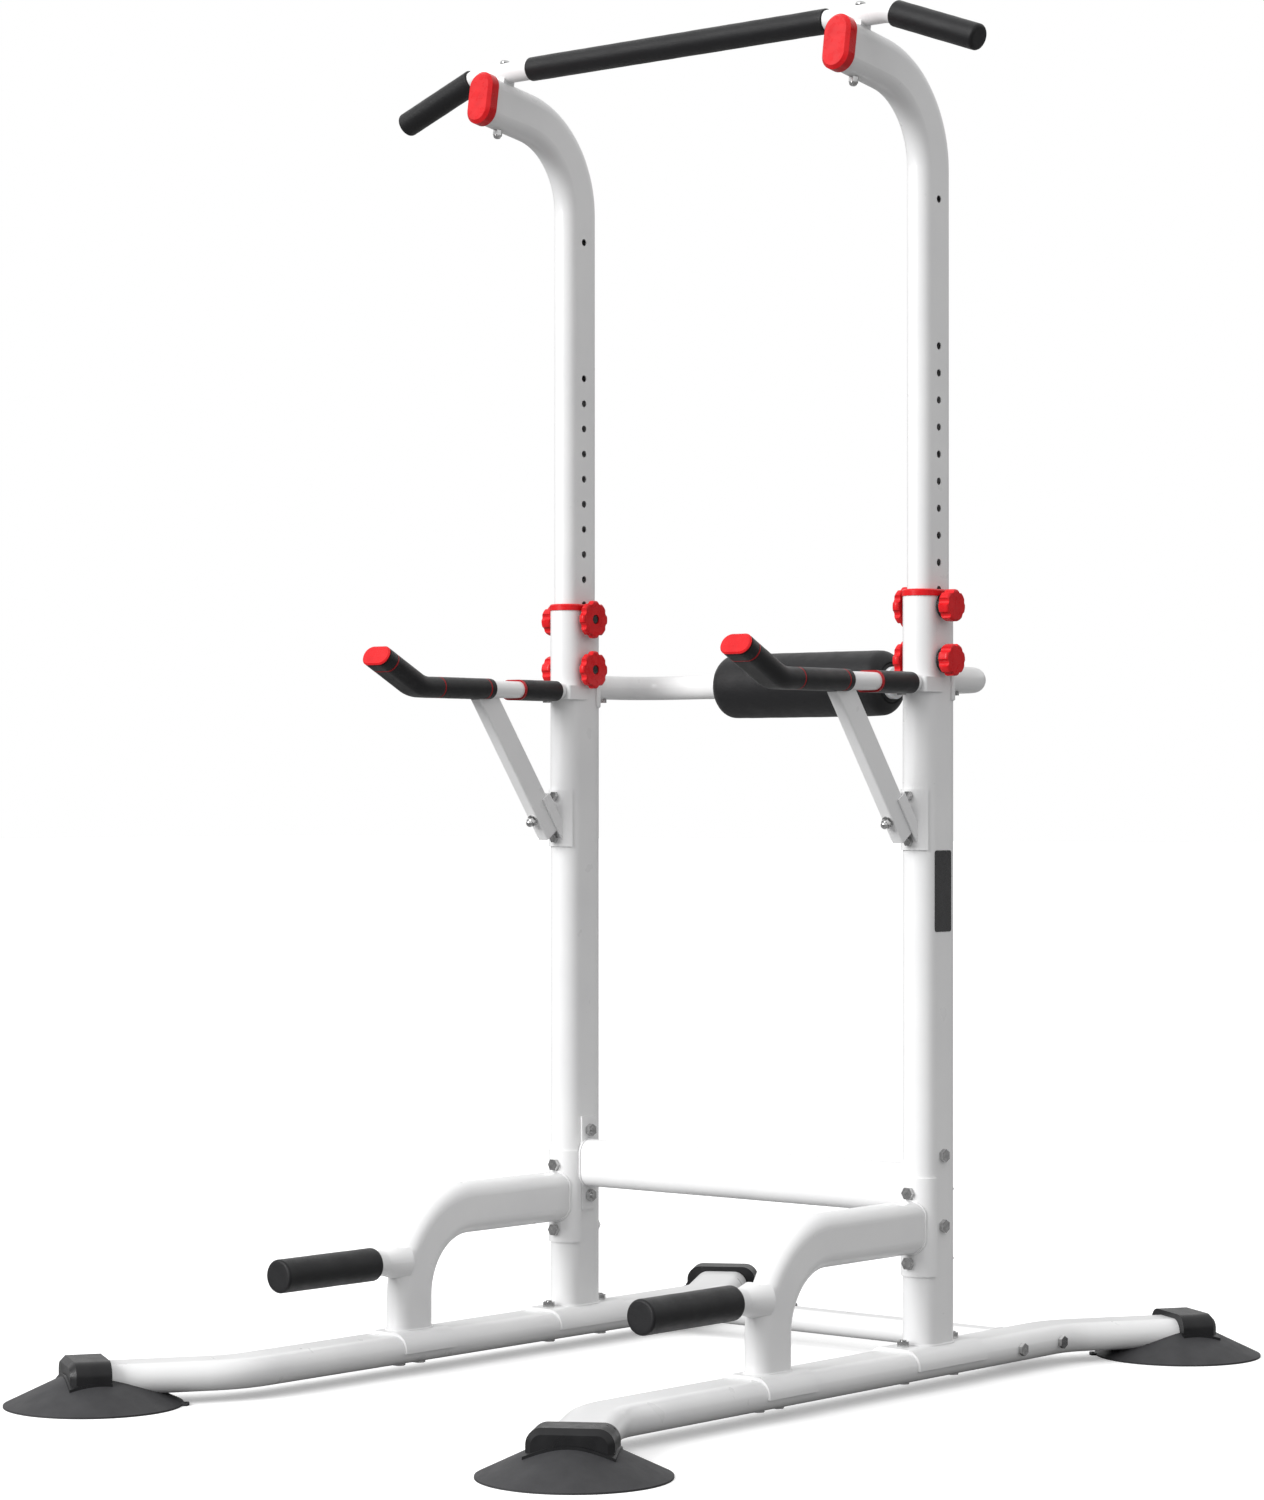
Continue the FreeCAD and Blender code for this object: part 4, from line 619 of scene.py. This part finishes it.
brace = []                        # squarish outline of the brace's top, in mm
for k in range(120):
    ca, sa = math.cos(2 * math.pi * k / 120), math.sin(2 * math.pi * k / 120)
    brace.append((BRACE_HALF[0] * math.copysign(abs(ca) ** BRACE_SQUARE, ca),
                  BRACE_HALF[1] * math.copysign(abs(sa) ** BRACE_SQUARE, sa)))
strap = sorted(p for p in oval_line(55, 90) if p[1] > 21)
for side, s in (("left", -1), ("right", 1)):
    c = s * POST
    welds = (
        ("upright", 0.0022, [spot(c + a, b, rail_top(a)) for a, b in oval_line(55, 90)]),
        ("leg", 0.0020, [spot(c + a, LEG_Y + b, 64) for a, b in oval_line(45, 80)]),
        ("frame", 0.0020,
         [spot(c + a, -17.5 - math.sqrt(30 ** 2 - min(abs(a), 29) ** 2), FRAME_Z + b)
          for a, b in oval_line(45, 80)]),
        ("crossbar", 0.0018, [spot(s * 316.5, a, CROSSBAR_Z + b) for a, b in oval_line(45, 76)]),
        ("cross_tube", 0.0018,
         [spot(s * (325 - math.sqrt(RAIL_RADIUS ** 2 - b ** 2)), 233 + a, RAIL_Z + b)
          for a, b in oval_line(61, 37)]),
        ("brace", 0.0016, [spot(c + a, -213.4 + b, 1026.3) for a, b in brace]),
    )
    for tag, size, line in welds:
        bead("%s_weld_%s" % (side, tag), line, size, "base_frame")
    for edge, z in (("low", 1015.5), ("high", 1067.5)):
        bead("%s_weld_back_strap_%s" % (side, edge), [spot(c + a, b, z) for a, b in strap],
             0.0015, "base_frame", False)


# ------------------------------------------------------------------ studio
mesh = bpy.data.meshes.new("floor")
mesh.from_pydata([(-60, -60, -0.0002), (60, -60, -0.0002), (60, 60, -0.0002),
                  (-60, 60, -0.0002)], [], [(0, 1, 2, 3)])
mesh.materials.append(floor_paint())
floor = bpy.data.objects.new("floor", mesh)
bpy.context.scene.collection.objects.link(floor)

world = bpy.data.worlds.new("studio")
bpy.context.scene.world = world
world.use_nodes = True
tree = world.node_tree
for old in list(tree.nodes):
    tree.nodes.remove(old)


def wire(kind, **values):
    """A world node with its input values set."""
    made = tree.nodes.new(kind)
    for key, value in values.items():
        made.inputs[key.replace("_", " ")].default_value = value
    return made


# A soft box sky with a dark horizon. The camera itself sees plain white.
heading = wire("ShaderNodeTexCoord")
split = wire("ShaderNodeSeparateXYZ")
grade = wire("ShaderNodeValToRGB")
while len(grade.color_ramp.elements) < len(SKY):
    grade.color_ramp.elements.new(0.5)
for stop, (height, strength) in zip(grade.color_ramp.elements, SKY):
    stop.position = height
    stop.color = (strength, strength, strength, 1.0)
soft_sky, white = wire("ShaderNodeBackground"), wire("ShaderNodeBackground", Strength=1.0)
ray, mix = wire("ShaderNodeLightPath"), wire("ShaderNodeMixShader")
out = wire("ShaderNodeOutputWorld")
for background in (soft_sky, white):
    background.inputs["Color"].default_value = (1, 1, 1, 1)
tree.links.new(heading.outputs["Generated"], split.inputs["Vector"])
tree.links.new(split.outputs["Z"], grade.inputs["Fac"])
tree.links.new(grade.outputs["Color"], soft_sky.inputs["Strength"])
tree.links.new(ray.outputs["Is Camera Ray"], mix.inputs["Fac"])
tree.links.new(soft_sky.outputs["Background"], mix.inputs[1])
tree.links.new(white.outputs["Background"], mix.inputs[2])
tree.links.new(mix.outputs["Shader"], out.inputs["Surface"])

key = bpy.data.lights.new("key", "SUN")
key.energy = KEY_POWER
key.angle = math.radians(KEY_SPREAD)
lamp = bpy.data.objects.new("key", key)
lamp.rotation_euler = Vector(KEY_FROM).to_track_quat("Z", "Y").to_euler()
bpy.context.scene.collection.objects.link(lamp)

lens = bpy.data.cameras.new("camera")
lens.lens = FOCAL_LENGTH
lens.sensor_width = SENSOR_WIDTH
lens.shift_y = CAMERA_SHIFT
lens.clip_end = 200
camera = bpy.data.objects.new("camera", lens)
camera.location = CAMERA_AT
camera.rotation_euler = (math.radians(90), 0, math.radians(CAMERA_HEADING))
bpy.context.scene.collection.objects.link(camera)
bpy.context.scene.camera = camera
bpy.context.scene.view_settings.view_transform = "Standard"
